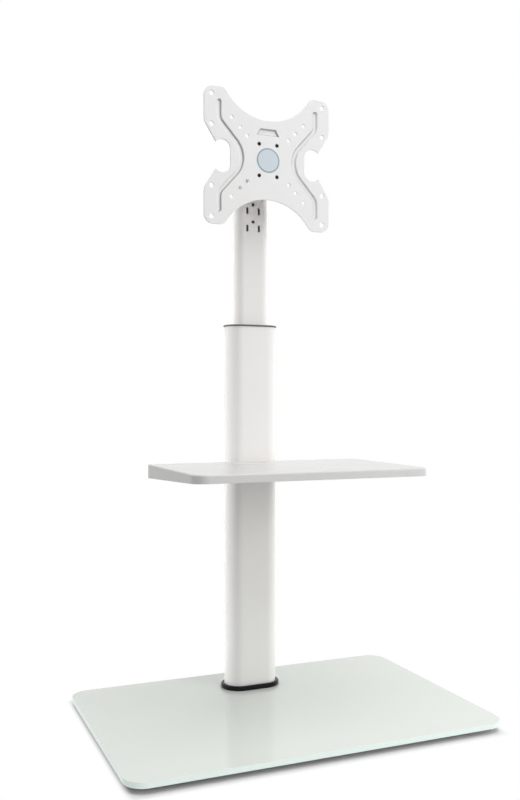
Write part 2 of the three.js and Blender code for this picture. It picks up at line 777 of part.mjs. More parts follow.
// One quarter of the plate's outline, from the middle of its side round to the middle of its top
function plateQuarter() {
  const bayMiddle = bayWaist + bayRadius;
  const innerZ = plateHalfHeight - plateInnerCorner;
  const innerX = Math.sqrt((bayRadius + plateInnerCorner) ** 2 - (bayMiddle - innerZ) ** 2);
  const bayAngle = Math.atan2(innerZ - bayMiddle, innerX);
  const notchX = notchReach + notchRadius;
  const notchZ = notchHalfHeight - notchRadius;
  const tip = new THREE.Vector2(notchX + notchRadius * Math.cos(notchTipAngle),
    notchZ + notchRadius * Math.sin(notchTipAngle));
  const sideEnd = new THREE.Vector2(plateHalfWidth, notchHalfHeight + sideRise);
  const slant = sideEnd.clone().sub(tip).setLength(sideEase);
  const path = new THREE.Path();
  path.moveTo(notchReach, 0);
  path.absarc(notchX, notchZ, notchRadius, Math.PI, notchTipAngle, true);
  path.lineTo(sideEnd.x - slant.x, sideEnd.y - slant.y);
  path.quadraticCurveTo(sideEnd.x, sideEnd.y, sideEnd.x, sideEnd.y + sideEase);
  path.absarc(plateHalfWidth - plateCorner, plateHalfHeight - plateCorner, plateCorner,
    0, Math.PI / 2, false);
  path.absarc(innerX, innerZ, plateInnerCorner, Math.PI / 2, Math.PI + bayAngle, false);
  path.absarc(0, bayMiddle, bayRadius, bayAngle, -Math.PI / 2, true);
  return path.getPoints(plateArcSteps);
}

function plateOutline() {
  const quarter = plateQuarter();
  const upper = [...quarter, ...quarter.slice(0, -1).reverse().map((p) => new THREE.Vector2(-p.x, p.y))];
  const lower = upper.slice(1, -1).reverse().map((p) => new THREE.Vector2(p.x, -p.y));
  return new THREE.Shape([...upper, ...lower]);
}

// Outline of a pressed groove: upright arms above and below, led in by knees to a curved waist
function grooveOutline(inset) {
  const half = grooveWidth / 2 - inset;
  const slant = grooveSlantAngle;
  const kneeX = grooveArmX - grooveKneeRadius;
  const waistX = grooveWaistX + grooveWaistRadius;
  const shape = new THREE.Shape();
  shape.absarc(grooveArmX, grooveEndZ, half, 0, Math.PI, false);
  shape.absarc(kneeX, grooveKneeZ, grooveKneeRadius - half, 0, -slant, true);
  shape.absarc(waistX, 0, grooveWaistRadius + half, Math.PI - slant, Math.PI + slant, false);
  shape.absarc(kneeX, -grooveKneeZ, grooveKneeRadius - half, slant, 0, true);
  shape.absarc(grooveArmX, -grooveEndZ, half, Math.PI, 2 * Math.PI, false);
  shape.absarc(kneeX, -grooveKneeZ, grooveKneeRadius + half, 0, slant, false);
  shape.absarc(waistX, 0, grooveWaistRadius - half, Math.PI + slant, Math.PI - slant, true);
  shape.absarc(kneeX, grooveKneeZ, grooveKneeRadius + half, -slant, 0, false);
  shape.closePath();
  return shape;
}

function pocketOutline(inset) {
  const shape = new THREE.Shape();
  shape.moveTo(inset - pocketBottomWidth / 2, pocketBottomZ + inset);
  shape.lineTo(pocketBottomWidth / 2 - inset, pocketBottomZ + inset);
  shape.lineTo(pocketTopWidth / 2 - inset, pocketTopZ - inset);
  shape.lineTo(inset - pocketTopWidth / 2, pocketTopZ - inset);
  shape.closePath();
  return shape;
}

// A pressing, narrow at its floor on z = 0 and wider by the draft from one depth above it
function pressing(shape) {
  return new THREE.ExtrudeGeometry(shape, {
    depth: plateThick,
    bevelThickness: grooveDepth,
    bevelSize: grooveDraft,
    bevelSegments: 1,
    curveSegments: plateArcSteps,
  }).translate(0, 0, grooveDepth);
}

// Both grooves and the pocket, pressed down to the given level
function pressings(grooveInset, pocketInset, level) {
  return [
    pressing(grooveOutline(grooveInset)),
    pressing(grooveOutline(grooveInset)).rotateZ(Math.PI),
    pressing(pocketOutline(pocketInset)),
  ].map((geometry) => solid(geometry.translate(0, 0, level)));
}

// Television plate, drawn lying on its back and then stood up behind its front face
function makePlate() {
  const sheet = solid(easedPrism(plateOutline(), plateThick, plateEase));
  const above = solid(block(3 * plateHalfWidth, 3 * plateHalfHeight, plateThick + 3 * grooveDepth)
    .translate(0, 0, plateThick / 2));
  const beads = pressings(grooveDraft / 2, 0, -grooveDepth).map((bead) => cut(bead, above));
  const hollows = pressings(grooveDraft, grooveDraft, plateThick - grooveDepth);

  const holes = [];
  const drill = (x, z, radius) => holes.push(solid(
    bore(radius, plateThick + 2 * overrun).translate(x, z, -overrun)));
  for (const [sx, sz] of quarters) {
    drill(sx * wideHole, sz * wideHole, wideHoleRadius);
    drill(sx * wideHole, sz * middleHole, wideHoleRadius);
    drill(sx * diagonalHole, sz * diagonalHole, narrowHoleRadius);
    drill(sx * middleHole, sz * middleHole, narrowHoleRadius);
    drill(sx * narrowHole, sz * narrowHole, narrowHoleRadius);
    drill(sx * plateScrewX, sz * plateScrewZ, plateScrewRadius + fitGap);
    holes.push(solid(bore(plateScrewHeadRadius + fitGap, plateThick)
      .translate(sx * plateScrewX, sz * plateScrewZ, plateThick - plateScrewHeadHeight)));
  }
  const plate = place(mount, 'tv_plate', cut(joined(sheet, ...beads), ...hollows, ...holes), whitePaint);
  plate.rotation.x = Math.PI / 2;
  plate.position.set(0, plateBack, 0);

  const shankLength = plateThick - plateScrewHeadHeight + headThick + plateScrewTail;
  quarters.forEach(([sx, sz], i) => {
    const screw = joined(
      solid(towardsFront(easedDrum(plateScrewHeadRadius, plateScrewHeadHeight, screwEase))),
      solid(towardsRear(drum(plateScrewRadius, shankLength + plateScrewHeadHeight / 2, holeSteps))
        .translate(0, -plateScrewHeadHeight / 2, 0)));
    place(mount, `plate_screw_${i + 1}`, screw, blackSteel)
      .position.set(sx * plateScrewX, plateFront + plateScrewHeadHeight - fitGap, sz * plateScrewZ);
  });
}

// A wedge that cuts away all below a line falling or rising from the rear to the front
function underCut(rearY, rearZ, frontY, frontZ, width) {
  const slope = (frontZ - rearZ) / (frontY - rearY);
  const shape = new THREE.Shape();
  const startY = rearY + overrun;
  const endY = frontY - overrun;
  const low = Math.min(rearZ, frontZ) - width;
  shape.moveTo(startY, rearZ + slope * overrun);
  shape.lineTo(endY, frontZ - slope * overrun);
  shape.lineTo(endY, low);
  shape.lineTo(startY, low);
  shape.closePath();
  return solid(prism(shape, width + 2 * overrun)
    .rotateX(Math.PI / 2)
    .rotateZ(Math.PI / 2)
    .translate(-width / 2 - overrun, 0, 0));
}

function shelfBoltHoles() {
  return sides.map((side) => solid(
    towardsFront(bore(shelfBoltRadius + fitGap, shelfThick + channelThick + 2 * overrun))
      .translate(side * shelfBoltSpan / 2, shelfBack + overrun, shelfBoltLevel)));
}

// Shelf: a folded tray whose side flanges deepen towards the column
function makeShelf() {
  const middleY = shelfBack - shelfDepth / 2;
  const height = shelfRearFlange + 2 * shelfEase;
  const outer = solid(easedPrism(
    roundedBox(shelfWidth, shelfDepth, shelfFrontCorner, shelfRearCorner),
    height, shelfEase, easeSteps, smallArcSteps).translate(0, middleY, shelfLevel - height));
  const inner = solid(prism(
    roundedBox(shelfWidth - 2 * shelfThick, shelfDepth - 2 * shelfThick,
      shelfFrontCorner - shelfThick, shelfRearCorner - shelfThick),
    height, smallArcSteps).translate(0, middleY, shelfUnder - height));
  const taper = underCut(shelfBack, shelfLevel - shelfRearFlange,
    shelfBack - shelfDepth, shelfLevel - shelfFrontFlange, shelfWidth);
  place(column, 'shelf', cut(outer, inner, taper, ...shelfBoltHoles()), whitePaint);
}

// Channel that stiffens the shelf from below, open at its bottom, with a tab for the bolts
function makeChannel() {
  const width = shelfBoltSpan + 2 * channelRim;
  const outer = solid(block(width, channelLength, channelDepth)
    .translate(0, channelBack - channelLength / 2, channelTop - channelDepth));
  const hollow = solid(block(width - 2 * channelThick, channelLength, channelDepth)
    .translate(0, channelBack - channelThick - channelLength / 2,
      channelTop - channelThick - channelDepth));
  const taper = underCut(channelBack, channelTop - channelDepth,
    channelBack - channelLength, channelTop - channelTailDepth, width);
  place(column, 'shelf_channel', cut(outer, hollow, taper, ...shelfBoltHoles()), whitePaint);
}

// Bolts through the channel, the shelf and the column's front wall into a plate inside it
function makeShelfBolts() {
  const nutFront = lowerFront + lowerWall + fitGap;
  const headStart = channelBack - channelThick - fitGap;
  const shankLength = nutFront + nutPlateThick - headStart;
  const nutPlate = cut(
    solid(block(shelfBoltSpan + 2 * nutPlateRim, nutPlateThick, nutPlateHeight)
      .translate(0, nutPlateThick / 2, -nutPlateHeight / 2)),
    ...sides.map((side) => solid(
      towardsRear(bore(shelfBoltRadius + fitGap, nutPlateThick + 2 * overrun))
        .translate(side * shelfBoltSpan / 2, -overrun, 0))));
  place(column, 'shelf_nut_plate', nutPlate, zincSteel).position.set(0, nutFront, shelfBoltLevel);
  sides.forEach((side, i) => {
    const bolt = cut(
      joined(
        solid(towardsFront(easedDrum(shelfBoltHeadRadius, shelfBoltHeadHeight, screwEase))),
        solid(towardsRear(drum(shelfBoltRadius, shankLength + shelfBoltHeadHeight / 2, holeSteps))
          .translate(0, -shelfBoltHeadHeight / 2, 0))),
      solid(towardsFront(hexBar(shelfSocketAcross, shelfSocketDepth + overrun))
        .translate(0, shelfSocketDepth - shelfBoltHeadHeight, 0)));
    place(column, `shelf_bolt_${i + 1}`, bolt, zincSteel)
      .position.set(side * shelfBoltSpan / 2, headStart, shelfBoltLevel);
  });
}

makeFeet();
makeGlass();
makeUnderside();
makeRing();
makeColumnFoot();
makeLowerColumn();
makeGrommet('cable_grommet_low', lowerCableWidth, lowerCableHeight, lowerRear, lowerWall,
  lowerCableLevels[0]);
makeGrommet('cable_grommet_high', lowerCableWidth, lowerCableHeight, lowerRear, lowerWall,
  lowerCableLevels[1]);
makeGrommet('cable_grommet_mast', upperCableWidth, upperCableHeight, upperRear, upperWall,
  upperCableLevel);
makeCollar();
makeLockScrews();
makeUpperColumn();
makeGuide();
makeCap();
makeBracket();
makePivot();
makeHead();
makePlate();
makeShelf();
makeChannel();
makeShelfBolts();

export default stand;
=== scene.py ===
import json
from math import atan2, cos, degrees, pi, radians, sin, sqrt, tan

import bmesh
import bpy
from bmesh.types import BMEdge, BMFace, BMVert
from mathutils import Matrix, Vector

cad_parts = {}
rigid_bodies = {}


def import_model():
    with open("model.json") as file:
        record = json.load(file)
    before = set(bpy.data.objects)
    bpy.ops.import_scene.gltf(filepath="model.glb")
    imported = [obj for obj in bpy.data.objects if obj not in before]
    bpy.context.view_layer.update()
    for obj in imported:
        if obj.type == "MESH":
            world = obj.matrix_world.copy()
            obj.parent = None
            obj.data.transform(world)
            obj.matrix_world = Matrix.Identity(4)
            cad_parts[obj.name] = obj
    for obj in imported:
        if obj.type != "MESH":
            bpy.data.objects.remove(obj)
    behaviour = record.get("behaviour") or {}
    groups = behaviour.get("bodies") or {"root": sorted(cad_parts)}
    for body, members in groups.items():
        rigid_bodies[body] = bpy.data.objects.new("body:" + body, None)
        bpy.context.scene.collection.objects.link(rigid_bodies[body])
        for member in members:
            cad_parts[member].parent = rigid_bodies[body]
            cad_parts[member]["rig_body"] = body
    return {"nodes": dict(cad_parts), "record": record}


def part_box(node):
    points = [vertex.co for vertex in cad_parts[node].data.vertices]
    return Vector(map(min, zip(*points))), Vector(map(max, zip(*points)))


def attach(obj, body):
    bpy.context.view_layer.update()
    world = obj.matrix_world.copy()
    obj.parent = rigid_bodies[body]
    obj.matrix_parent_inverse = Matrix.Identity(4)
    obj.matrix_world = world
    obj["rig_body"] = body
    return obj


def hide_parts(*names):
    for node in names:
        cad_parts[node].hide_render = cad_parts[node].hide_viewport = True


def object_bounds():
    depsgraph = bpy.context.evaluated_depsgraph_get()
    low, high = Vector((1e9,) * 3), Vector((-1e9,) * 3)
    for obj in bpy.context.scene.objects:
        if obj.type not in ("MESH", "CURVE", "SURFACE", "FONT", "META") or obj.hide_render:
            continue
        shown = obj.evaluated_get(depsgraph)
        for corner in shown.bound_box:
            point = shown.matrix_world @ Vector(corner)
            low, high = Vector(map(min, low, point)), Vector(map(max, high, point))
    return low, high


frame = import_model()
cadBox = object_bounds()
mm = 0.001
tiny = 0.001 * mm  # two points closer than this are one
fitGap = 0.3 * mm  # the clearance between pieces, as in the frame
square = 0.99  # a face looks along an axis if its normal has at least this much of it
flat = Matrix.Identity(4)
upright = Matrix.Rotation(radians(90), 4, "X")  # stands a drawing up, with its face to the front
slotOf = {part["node"]: part["material_slot"] for part in frame["record"]["subparts"]}
print("frame loaded:", len(frame["nodes"]), "nodes")


def sizeOf(node):
    low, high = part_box(node)
    return low, high, (low + high) / 2


# The middles of numbered nodes, such as a set of bolts
def middlesOf(name, count):
    return [sizeOf(f"{name}_{i + 1}")[2] for i in range(count)]


# A socket that can be used in sums
class Wire:
    def __init__(self, nodes, socket):
        self.nodes = nodes
        self.socket = socket

    def math(self, operation, first, second=0.0):
        return self.nodes.add("Math", {"operation": operation}, {0: first, 1: second})

    def __add__(self, other):
        return self.math("ADD", self, other)

    def __mul__(self, other):
        return self.math("MULTIPLY", self, other)

    def __sub__(self, other):
        return self.math("SUBTRACT", self, other)

    def __rsub__(self, other):
        return self.math("SUBTRACT", other, self)

    def __pow__(self, other):
        return self.math("POWER", self, other)

    def __abs__(self):
        return self.math("ABSOLUTE", self)

    def atLeast(self, other):
        return self.math("MAXIMUM", self, other)

    __radd__ = __add__
    __rmul__ = __mul__


# A node tree, with one method that adds any node
class Nodes:
    def __init__(self, holder):
        holder.use_nodes = True
        self.holder = holder
        self.tree = holder.node_tree
        self.tree.nodes.clear()

    def add(self, kind, settings, inputs, out=0):
        made = self.tree.nodes.new("ShaderNode" + kind)
        for key, value in settings.items():
            setattr(made, key, value)
        for key, value in inputs.items():
            socket = made.inputs[key]
            if isinstance(value, Wire):
                self.tree.links.new(value.socket, socket)
            elif isinstance(value, tuple) and socket.type == "RGBA":
                socket.default_value = (*value, 1)
            else:
                socket.default_value = value
        return Wire(self, made.outputs[out] if made.outputs else None)

    def mix(self, share, first, second):
        return self.add("Mix", {"data_type": "RGBA"}, {0: share, 6: first, 7: second}, out=2)

    def axis(self, letter, vector):
        return self.add("SeparateXYZ", {}, {0: vector}, out=letter)

    def place(self, stretch=(1, 1, 1), centre=(0, 0, 0)):
        coordinates = self.add("TexCoord", {}, {}, out="Object")
        inputs = {"Vector": coordinates, "Location": centre, "Scale": stretch}
        return self.add("Mapping", {}, inputs)

    def noise(self, scale, detail, roughness=0.5, stretch=(1, 1, 1)):
        inputs = {"Vector": self.place(stretch), "Scale": scale, "Detail": detail, "Roughness": roughness}
        return self.add("TexNoise", {}, inputs)

    def between(self, wire, low, high):
        inputs = {"Value": wire, "From Min": low, "From Max": high}
        return self.add("MapRange", {"interpolation_type": "SMOOTHSTEP"}, inputs)

    def bump(self, height, strength, distance):
        inputs = {"Height": height, "Strength": strength, "Distance": distance}
        return self.add("Bump", {}, inputs)

    # One value for the given kind of ray, another for the rest
    def whenSeen(self, kind, seen, otherwise):
        ray = self.add("LightPath", {}, {}, out=f"Is {kind} Ray")
        return ray * seen + (1 - ray) * otherwise

    def surface(self, **inputs):
        named = {key.replace("_", " "): value for key, value in inputs.items()}
        shader = self.add("BsdfPrincipled", {}, named)
        self.add("OutputMaterial", {}, {"Surface": shader})
        return self.holder

    # Two tones, a roughness and a relief, each with the pattern that it follows
    def mottled(self, look, tone, dullness, relief, **inputs):
        return self.surface(
            Base_Color=self.mix(tone, look["low"], look["high"]),
            Roughness=look["rough"] + look["moreRough"] * dullness,
            Normal=self.bump(relief, *look["relief"]),
            **inputs,
        )


def newFinish(name):
    return Nodes(bpy.data.materials.new(name))


# In every finish a pattern is given by its scale and detail, a relief by its strength and depth, and a
# window by the two values between which a look comes in. Roughness is a base and what a pattern adds to it.

# Smooth powder coat: a faint orange peel under an even gloss, and a painted shade, mixed into the colour
# where a mesh attribute marks the foot of shaded walls
def makePaint(name, low, high, paintedShade=None):
    paint = dict(
        cloud=(5, 3), peel=(420, 1.5), fine=(2520, 1), fineShare=0.15, relief=(0.12, 0.25 * mm),
        rough=0.2, cloudRough=0.1, fineRough=0.06, coat=0.25, coatRough=0.06,
    )
    nodes = newFinish(name)
    cloud = nodes.noise(*paint["cloud"])
    peel = nodes.noise(*paint["peel"])
    fine = nodes.noise(*paint["fine"])
    colour = nodes.mix(cloud, low, high)
    # painted shade: the colour turns to the given darker tone along the foot of pressed walls that face away
    # from the lamps
    if paintedShade:
        share = nodes.add("Attribute", {"attribute_name": "paintedShade"}, {}, out="Fac")
        colour = nodes.mix(share, colour, paintedShade)
    return nodes.surface(
        Base_Color=colour,
        Roughness=paint["rough"] + paint["cloudRough"] * cloud + paint["fineRough"] * fine,
        Normal=nodes.bump(peel + paint["fineShare"] * fine, *paint["relief"]),
        Coat_Weight=paint["coat"],
        Coat_Roughness=paint["coatRough"],
    )


# Clear glass painted on its underside: pale from above, sea green where the edge shows its thickness, with a
# painted highlight along the arris and a painted glow on the edges.
# Each window is how far a face looks up where one look turns into the next.
def makePaintedGlass():
    glass = dict(
        top=(0.79, 0.84, 0.785), topCloud=(0.805, 0.85, 0.795), edge=(0.72, 0.8, 0.765),
        arris=(0.85, 0.93, 0.89), under=(0.82, 0.83, 0.82), paintedEdgeGlow=(0.21, 0.245, 0.23),
        arrisHighlightWindow=(0.15, 0.6), topWindow=(0.85, 0.98), underWindow=(0.4, 0.9), paintedGlowWindow=(-0.6, -0.3),
        cloud=(3.5, 2), ripple=(9, 1), relief=(0.02, 1 * mm), rough=0.02, cloudRough=0.015, refraction=1.52,
    )
    nodes = newFinish("paintedGlass")
    normal = nodes.add("NewGeometry", {}, {}, out="Normal")
    height = nodes.axis("Z", normal)
    cloud = nodes.noise(*glass["cloud"])
    face = nodes.mix(cloud, glass["top"], glass["topCloud"])
    # painted highlight: the arris bevel takes a paler colour than the top and the edge, standing in for the
    # light that it catches
    side = nodes.mix(nodes.between(height, *glass["arrisHighlightWindow"]), glass["edge"], glass["arris"])
    upper = nodes.mix(nodes.between(height, *glass["topWindow"]), side, face)
    body = nodes.mix(nodes.between(height * -1, *glass["underWindow"]), upper, glass["under"])
    ripple = nodes.noise(*glass["ripple"])
    # painted light: the edges glow by emission, standing in for light that runs inside the glass
    paintedGlowShare = nodes.between(abs(height) * -1, *glass["paintedGlowWindow"])
    return nodes.surface(
        Base_Color=body,
        Emission_Color=nodes.mix(paintedGlowShare, (0, 0, 0), glass["paintedEdgeGlow"]),
        Emission_Strength=1.0,
        Roughness=glass["rough"] + glass["cloudRough"] * cloud,
        Normal=nodes.bump(ripple, *glass["relief"]),
        IOR=glass["refraction"],
    )


# Moulded black plastic with a high gloss and a few hairline scuffs
def makeBlackGloss():
    gloss = dict(
        low=(0.003, 0.003, 0.003), high=(0.007, 0.007, 0.007), cloud=(40, 3), scuff=(260, 4, 0.6),
        scuffStretch=(1, 0.15, 1), scuffWindow=(0.5, 0.75), relief=(0.03, 0.2 * mm), rough=0.1,
        moreRough=0.12, shine=0.22,
    )
    nodes = newFinish("blackGloss")
    cloud = nodes.noise(*gloss["cloud"])
    scuff = nodes.between(nodes.noise(*gloss["scuff"], gloss["scuffStretch"]), *gloss["scuffWindow"])
    return nodes.mottled(gloss, cloud, scuff, cloud, Specular_IOR_Level=gloss["shine"])


# Moulded plastic with a spark-eroded grain
def makeDarkPlastic():
    plastic = dict(
        low=(0.12, 0.122, 0.128), high=(0.165, 0.166, 0.17), grain=(1500, 2), cloud=(30, 2),
        relief=(0.25, 0.08 * mm), rough=0.42, moreRough=0.16,
    )
    nodes = newFinish("darkPlastic")
    grain = nodes.noise(*plastic["grain"])
    cloud = nodes.noise(*plastic["cloud"])
    return nodes.mottled(plastic, cloud, grain, grain)


# Soft rubber, dull, with a little bloom on its surface
def makeBlackRubber():
    rubber = dict(
        low=(0.018, 0.018, 0.019), high=(0.05, 0.05, 0.052), bloom=(60, 4), bloomWindow=(0.35, 0.75),
        grain=(2200, 2), relief=(0.3, 0.06 * mm), rough=0.72, moreRough=0.15,
    )
    nodes = newFinish("blackRubber")
    bloom = nodes.between(nodes.noise(*rubber["bloom"]), *rubber["bloomWindow"])
    return nodes.mottled(rubber, bloom, bloom, nodes.noise(*rubber["grain"]))


# Bright zinc plate: cloudy, with the faint blue and straw tints of its passivation
def makeZincSteel():
    zinc = dict(
        blue=(0.66, 0.7, 0.76), straw=(0.74, 0.72, 0.66), bright=(0.76, 0.77, 0.78), cloud=(130, 3),
        tint=(78, 2), tintWindow=(0.4, 0.62), spangle=(1560, 3), relief=(0.15, 0.05 * mm), rough=0.2,
        cloudRough=0.22, spangleRough=0.1,
    )
    nodes = newFinish("zincSteel")
    cloud = nodes.noise(*zinc["cloud"])
    tint = nodes.between(nodes.noise(*zinc["tint"]), *zinc["tintWindow"])
    spangle = nodes.noise(*zinc["spangle"])
    return nodes.surface(
        Base_Color=nodes.mix(cloud, nodes.mix(tint, zinc["blue"], zinc["straw"]), zinc["bright"]),
        Roughness=zinc["rough"] + zinc["cloudRough"] * cloud + zinc["spangleRough"] * spangle,
        Normal=nodes.bump(spangle, *zinc["relief"]),
        Metallic=1.0,
    )


# Black oxide on steel, worn a shade lighter in patches
def makeBlackSteel():
    oxide = dict(
        low=(0.012, 0.012, 0.014), high=(0.045, 0.044, 0.046), patch=(700, 3), patchWindow=(0.45, 0.75),
        relief=(0.1, 0.04 * mm), rough=0.34, moreRough=0.2, metal=0.6,
    )
    nodes = newFinish("blackSteel")
    patch = nodes.between(nodes.noise(*oxide["patch"]), *oxide["patchWindow"])
    return nodes.mottled(oxide, patch, patch, patch, Metallic=oxide["metal"])


# Natural nylon: milky, a little waxy
def makePaleNylon():
    nylon = dict(
        low=(0.74, 0.71, 0.62), high=(0.82, 0.795, 0.72), milk=(90, 3), relief=(0.1, 0.1 * mm),
        rough=0.4, moreRough=0.12,
    )
    nodes = newFinish("paleNylon")
    milk = nodes.noise(*nylon["milk"])
    return nodes.mottled(nylon, milk, milk, milk)


# Printed film for the plain disc in the middle of the plate
def makeDiscFilm():
    film = dict(
        low=(0.64, 0.71, 0.76), high=(0.3, 0.4, 0.48), ring=18.2 * mm, soft=0.5 * mm, speck=(900, 2),
        relief=(0.08, 0.05 * mm), rough=0.3, moreRough=0.08,
    )
    nodes = newFinish("discFilm")
    middle = sizeOf("tv_plate")[2]
    place = nodes.place(centre=(-middle.x, 0, -middle.z))
    across = nodes.axis("X", place)
    up = nodes.axis("Z", place)
    radius = (across * across + up * up) ** 0.5
    rim = nodes.between(radius, film["ring"] - film["soft"], film["ring"] + film["soft"])
    speck = nodes.noise(*film["speck"])
    return nodes.mottled(film, rim, speck, speck)


finishes = dict(
    painted_glass=makePaintedGlass(),
    white_paint=makePaint("whitePaint", (0.86, 0.842, 0.822), (0.89, 0.874, 0.856)),
    black_gloss=makeBlackGloss(),
    dark_plastic=makeDarkPlastic(),
    black_rubber=makeBlackRubber(),
    zinc_steel=makeZincSteel(),
    black_steel=makeBlackSteel(),
    pale_nylon=makePaleNylon(),
)
# painted shade: a darker copy of the white paint for the shelf and its channel, standing in for the shade on
# their flanges
shelfShadedPaint = makePaint("shelfShadedPaint", (0.67, 0.665, 0.655), (0.7, 0.696, 0.688))
# the plate paint carries a painted shade, in this grey, along the shaded walls of its pressed grooves and
# pocket
platePaint = makePaint("platePaint", (0.865, 0.858, 0.857), (0.893, 0.887, 0.885), (0.35, 0.35, 0.35))
for nodeName, node in frame["nodes"].items():
    node.data.materials.clear()
    node.data.materials.append(finishes[slotOf[nodeName]])
print("finishes made:", len(finishes))


# Draws a line of edges in a plane, with bmesh's own extrude and spin
class Pen:
    def __init__(self, bm, plane, u, v):
        self.bm = bm
        self.plane = plane
        self.known = set(bm.edges)
        self.first = bm.verts.new(plane @ Vector((u, v, 0)))
        self.last = self.first

    def line(self, u, v):
        self.last = bmesh.ops.extrude_vert_indiv(self.bm, verts=[self.last])["verts"][0]
        self.last.co = self.plane @ Vector((u, v, 0))
        return self

    # A positive angle turns from the plane's first axis towards its second
    def arc(self, u, v, angle, steps):
        made = bmesh.ops.spin(
            self.bm, geom=[self.last], cent=self.plane @ Vector((u, v, 0)),
            axis=self.plane.to_3x3() @ Vector((0, 0, 1)), angle=radians(angle), steps=steps,
        )
        self.last = made["geom_last"][0]
        return self

    def close(self):
        if (self.last.co - self.first.co).length < tiny:
            bmesh.ops.pointmerge(self.bm, verts=[self.first, self.last], merge_co=self.first.co)
        else:
            self.bm.edges.new((self.last, self.first))
        return [edge for edge in self.bm.edges if edge not in self.known]


def drawCircle(bm, plane, u, v, radius, steps=24):
    made = bmesh.ops.create_circle(
        bm, cap_ends=False, radius=radius, segments=steps, matrix=plane @ Matrix.Translation((u, v, 0))
    )
    return list({edge for vert in made["verts"] for edge in vert.link_edges})


# An upright oval: straight sides and half-round ends
def drawSlot(bm, plane, u, v, width, height, steps=10):
    radius = width / 2
    rise = height / 2 - radius
    pen = Pen(bm, plane, u + radius, v - rise).line(u + radius, v + rise).arc(u, v + rise, 180, steps)
    return pen.line(u - radius, v - rise).arc(u, v - rise, 180, steps).close()


# A rectangle, whose lower and upper corners can be rounded
def drawBox(bm, plane, left, bottom, right, top, lower=0, upper=0, steps=12):
    if not lower:
        return Pen(bm, plane, left, bottom).line(right, bottom).line(right, top).line(left, top).close()
    pen = Pen(bm, plane, right - lower, bottom).arc(right - lower, bottom + lower, 90, steps)
    pen.line(right, top - upper).arc(right - upper, top - upper, 90, steps)
    pen.line(left + upper, top).arc(left + upper, top - upper, 90, steps)
    return pen.line(left, bottom + lower).arc(left + lower, bottom + lower, 90, steps).close()


# Round holes for numbered bolts, in a wall whose drawing starts at the given level
def drawBoltHoles(bm, plane, bolt, count, radius, level=0):
    for place in middlesOf(bolt, count):
        yield drawCircle(bm, plane, place.x, place.z - level, radius, 16)


def only(kind, geometry):
    return [item for item in geometry if isinstance(item, kind)]


def fillFlat(bm, edges):
    made = bmesh.ops.triangle_fill(bm, use_beauty=True, use_dissolve=False, edges=edges)
    return only(BMFace, made["geom"])


def extrudeBy(bm, faces, step):
    made = bmesh.ops.extrude_face_region(bm, geom=faces)["geom"]
    bmesh.ops.translate(bm, verts=only(BMVert, made), vec=step)
    return only(BMFace, made)


def extrudeEdges(bm, edges, step):
    made = bmesh.ops.extrude_edge_only(bm, edges=edges)["geom"]
    verts = only(BMVert, made)
    bmesh.ops.translate(bm, verts=verts, vec=step)
    return verts, only(BMEdge, made)


def insetBy(bm, face, thickness, depth=0):
    return bmesh.ops.inset_region(
        bm, faces=[face], thickness=thickness, depth=depth, use_even_offset=True, use_boundary=True
    )["faces"]


def roundEdges(bm, edges, width, segments):
    bmesh.ops.bevel(
        bm, geom=edges, offset=width, affect="EDGES", segments=segments, profile=0.5, material=-1
    )


# The edges that have one face only, at one level if that is given
def openEdges(bm, level=None):
    edges = [edge for edge in bm.edges if edge.is_boundary]
    return [edge for edge in edges if level is None or abs(edge.verts[0].co.z - level) < tiny]


def facesAt(bm, level):
    return [face for face in bm.faces if abs(face.calc_center_median().z - level) < tiny]


def mergeDoubles(bm):
    bmesh.ops.remove_doubles(bm, verts=bm.verts, dist=tiny)


def weld(bm):
    mergeDoubles(bm)
    bmesh.ops.recalc_face_normals(bm, faces=bm.faces)


# Turns an open sheet over unless most of it looks along the given direction
def faceTowards(bm, direction):
    total = sum((face.normal * face.calc_area() for face in bm.faces), Vector())
    if total.dot(Vector(direction)) < 0:
        bmesh.ops.reverse_faces(bm, faces=bm.faces)


def moveTo(bm, place, turn=flat):
    bmesh.ops.transform(bm, matrix=Matrix.Translation(place) @ turn, verts=bm.verts)


def partsOf(bm):
    return set(bm.verts) | set(bm.edges)


def newParts(bm, known):
    return [part for part in [*bm.verts, *bm.edges] if part not in known]


# Copies what was drawn in one quarter of the flat plane to the other three
def mirrorTwice(bm, known):
    for axis in ("Y", "X"):
        bmesh.ops.mirror(bm, geom=newParts(bm, known), matrix=flat, merge_dist=tiny, axis=axis)


# Sweeps a profile round a flat oval whose two end centres lie at plus and minus reach on X.
# The profile is drawn by distance out from those centres and height.
def sweepOval(bm, reach, draw, steps):
    plane = Matrix.Translation((reach, 0, 0)) @ Matrix.Rotation(radians(-90), 4, "Z") @ upright
    known = partsOf(bm)
    draw(plane)
    geometry = newParts(bm, known)
    for side in (1, -1):
        turned = bmesh.ops.spin(
            bm, geom=geometry, cent=(side * reach, 0, 0), axis=(0, 0, 1), angle=pi, steps=steps
        )["geom_last"]
        verts, edges = extrudeEdges(bm, only(BMEdge, turned), (-2 * side * reach, 0, 0))
        geometry = verts + edges
    mergeDoubles(bm)


# Turns a profile, drawn by radius and height, once round the Z axis
def turnProfile(bm, draw, steps):
    known = partsOf(bm)
    draw(upright)
    bmesh.ops.spin(
        bm, geom=newParts(bm, known), cent=(0, 0, 0), axis=(0, 0, 1), angle=2 * pi, steps=steps,
        use_merge=True,
    )
    mergeDoubles(bm)


def linkNew(name, data):
    made = bpy.data.objects.new(name, data)
    bpy.context.scene.collection.objects.link(made)
    return made


def linkMesh(name, bm):
    mesh = bpy.data.meshes.new(name)
    bm.to_mesh(mesh)
    bm.free()
    return linkNew(name, mesh)


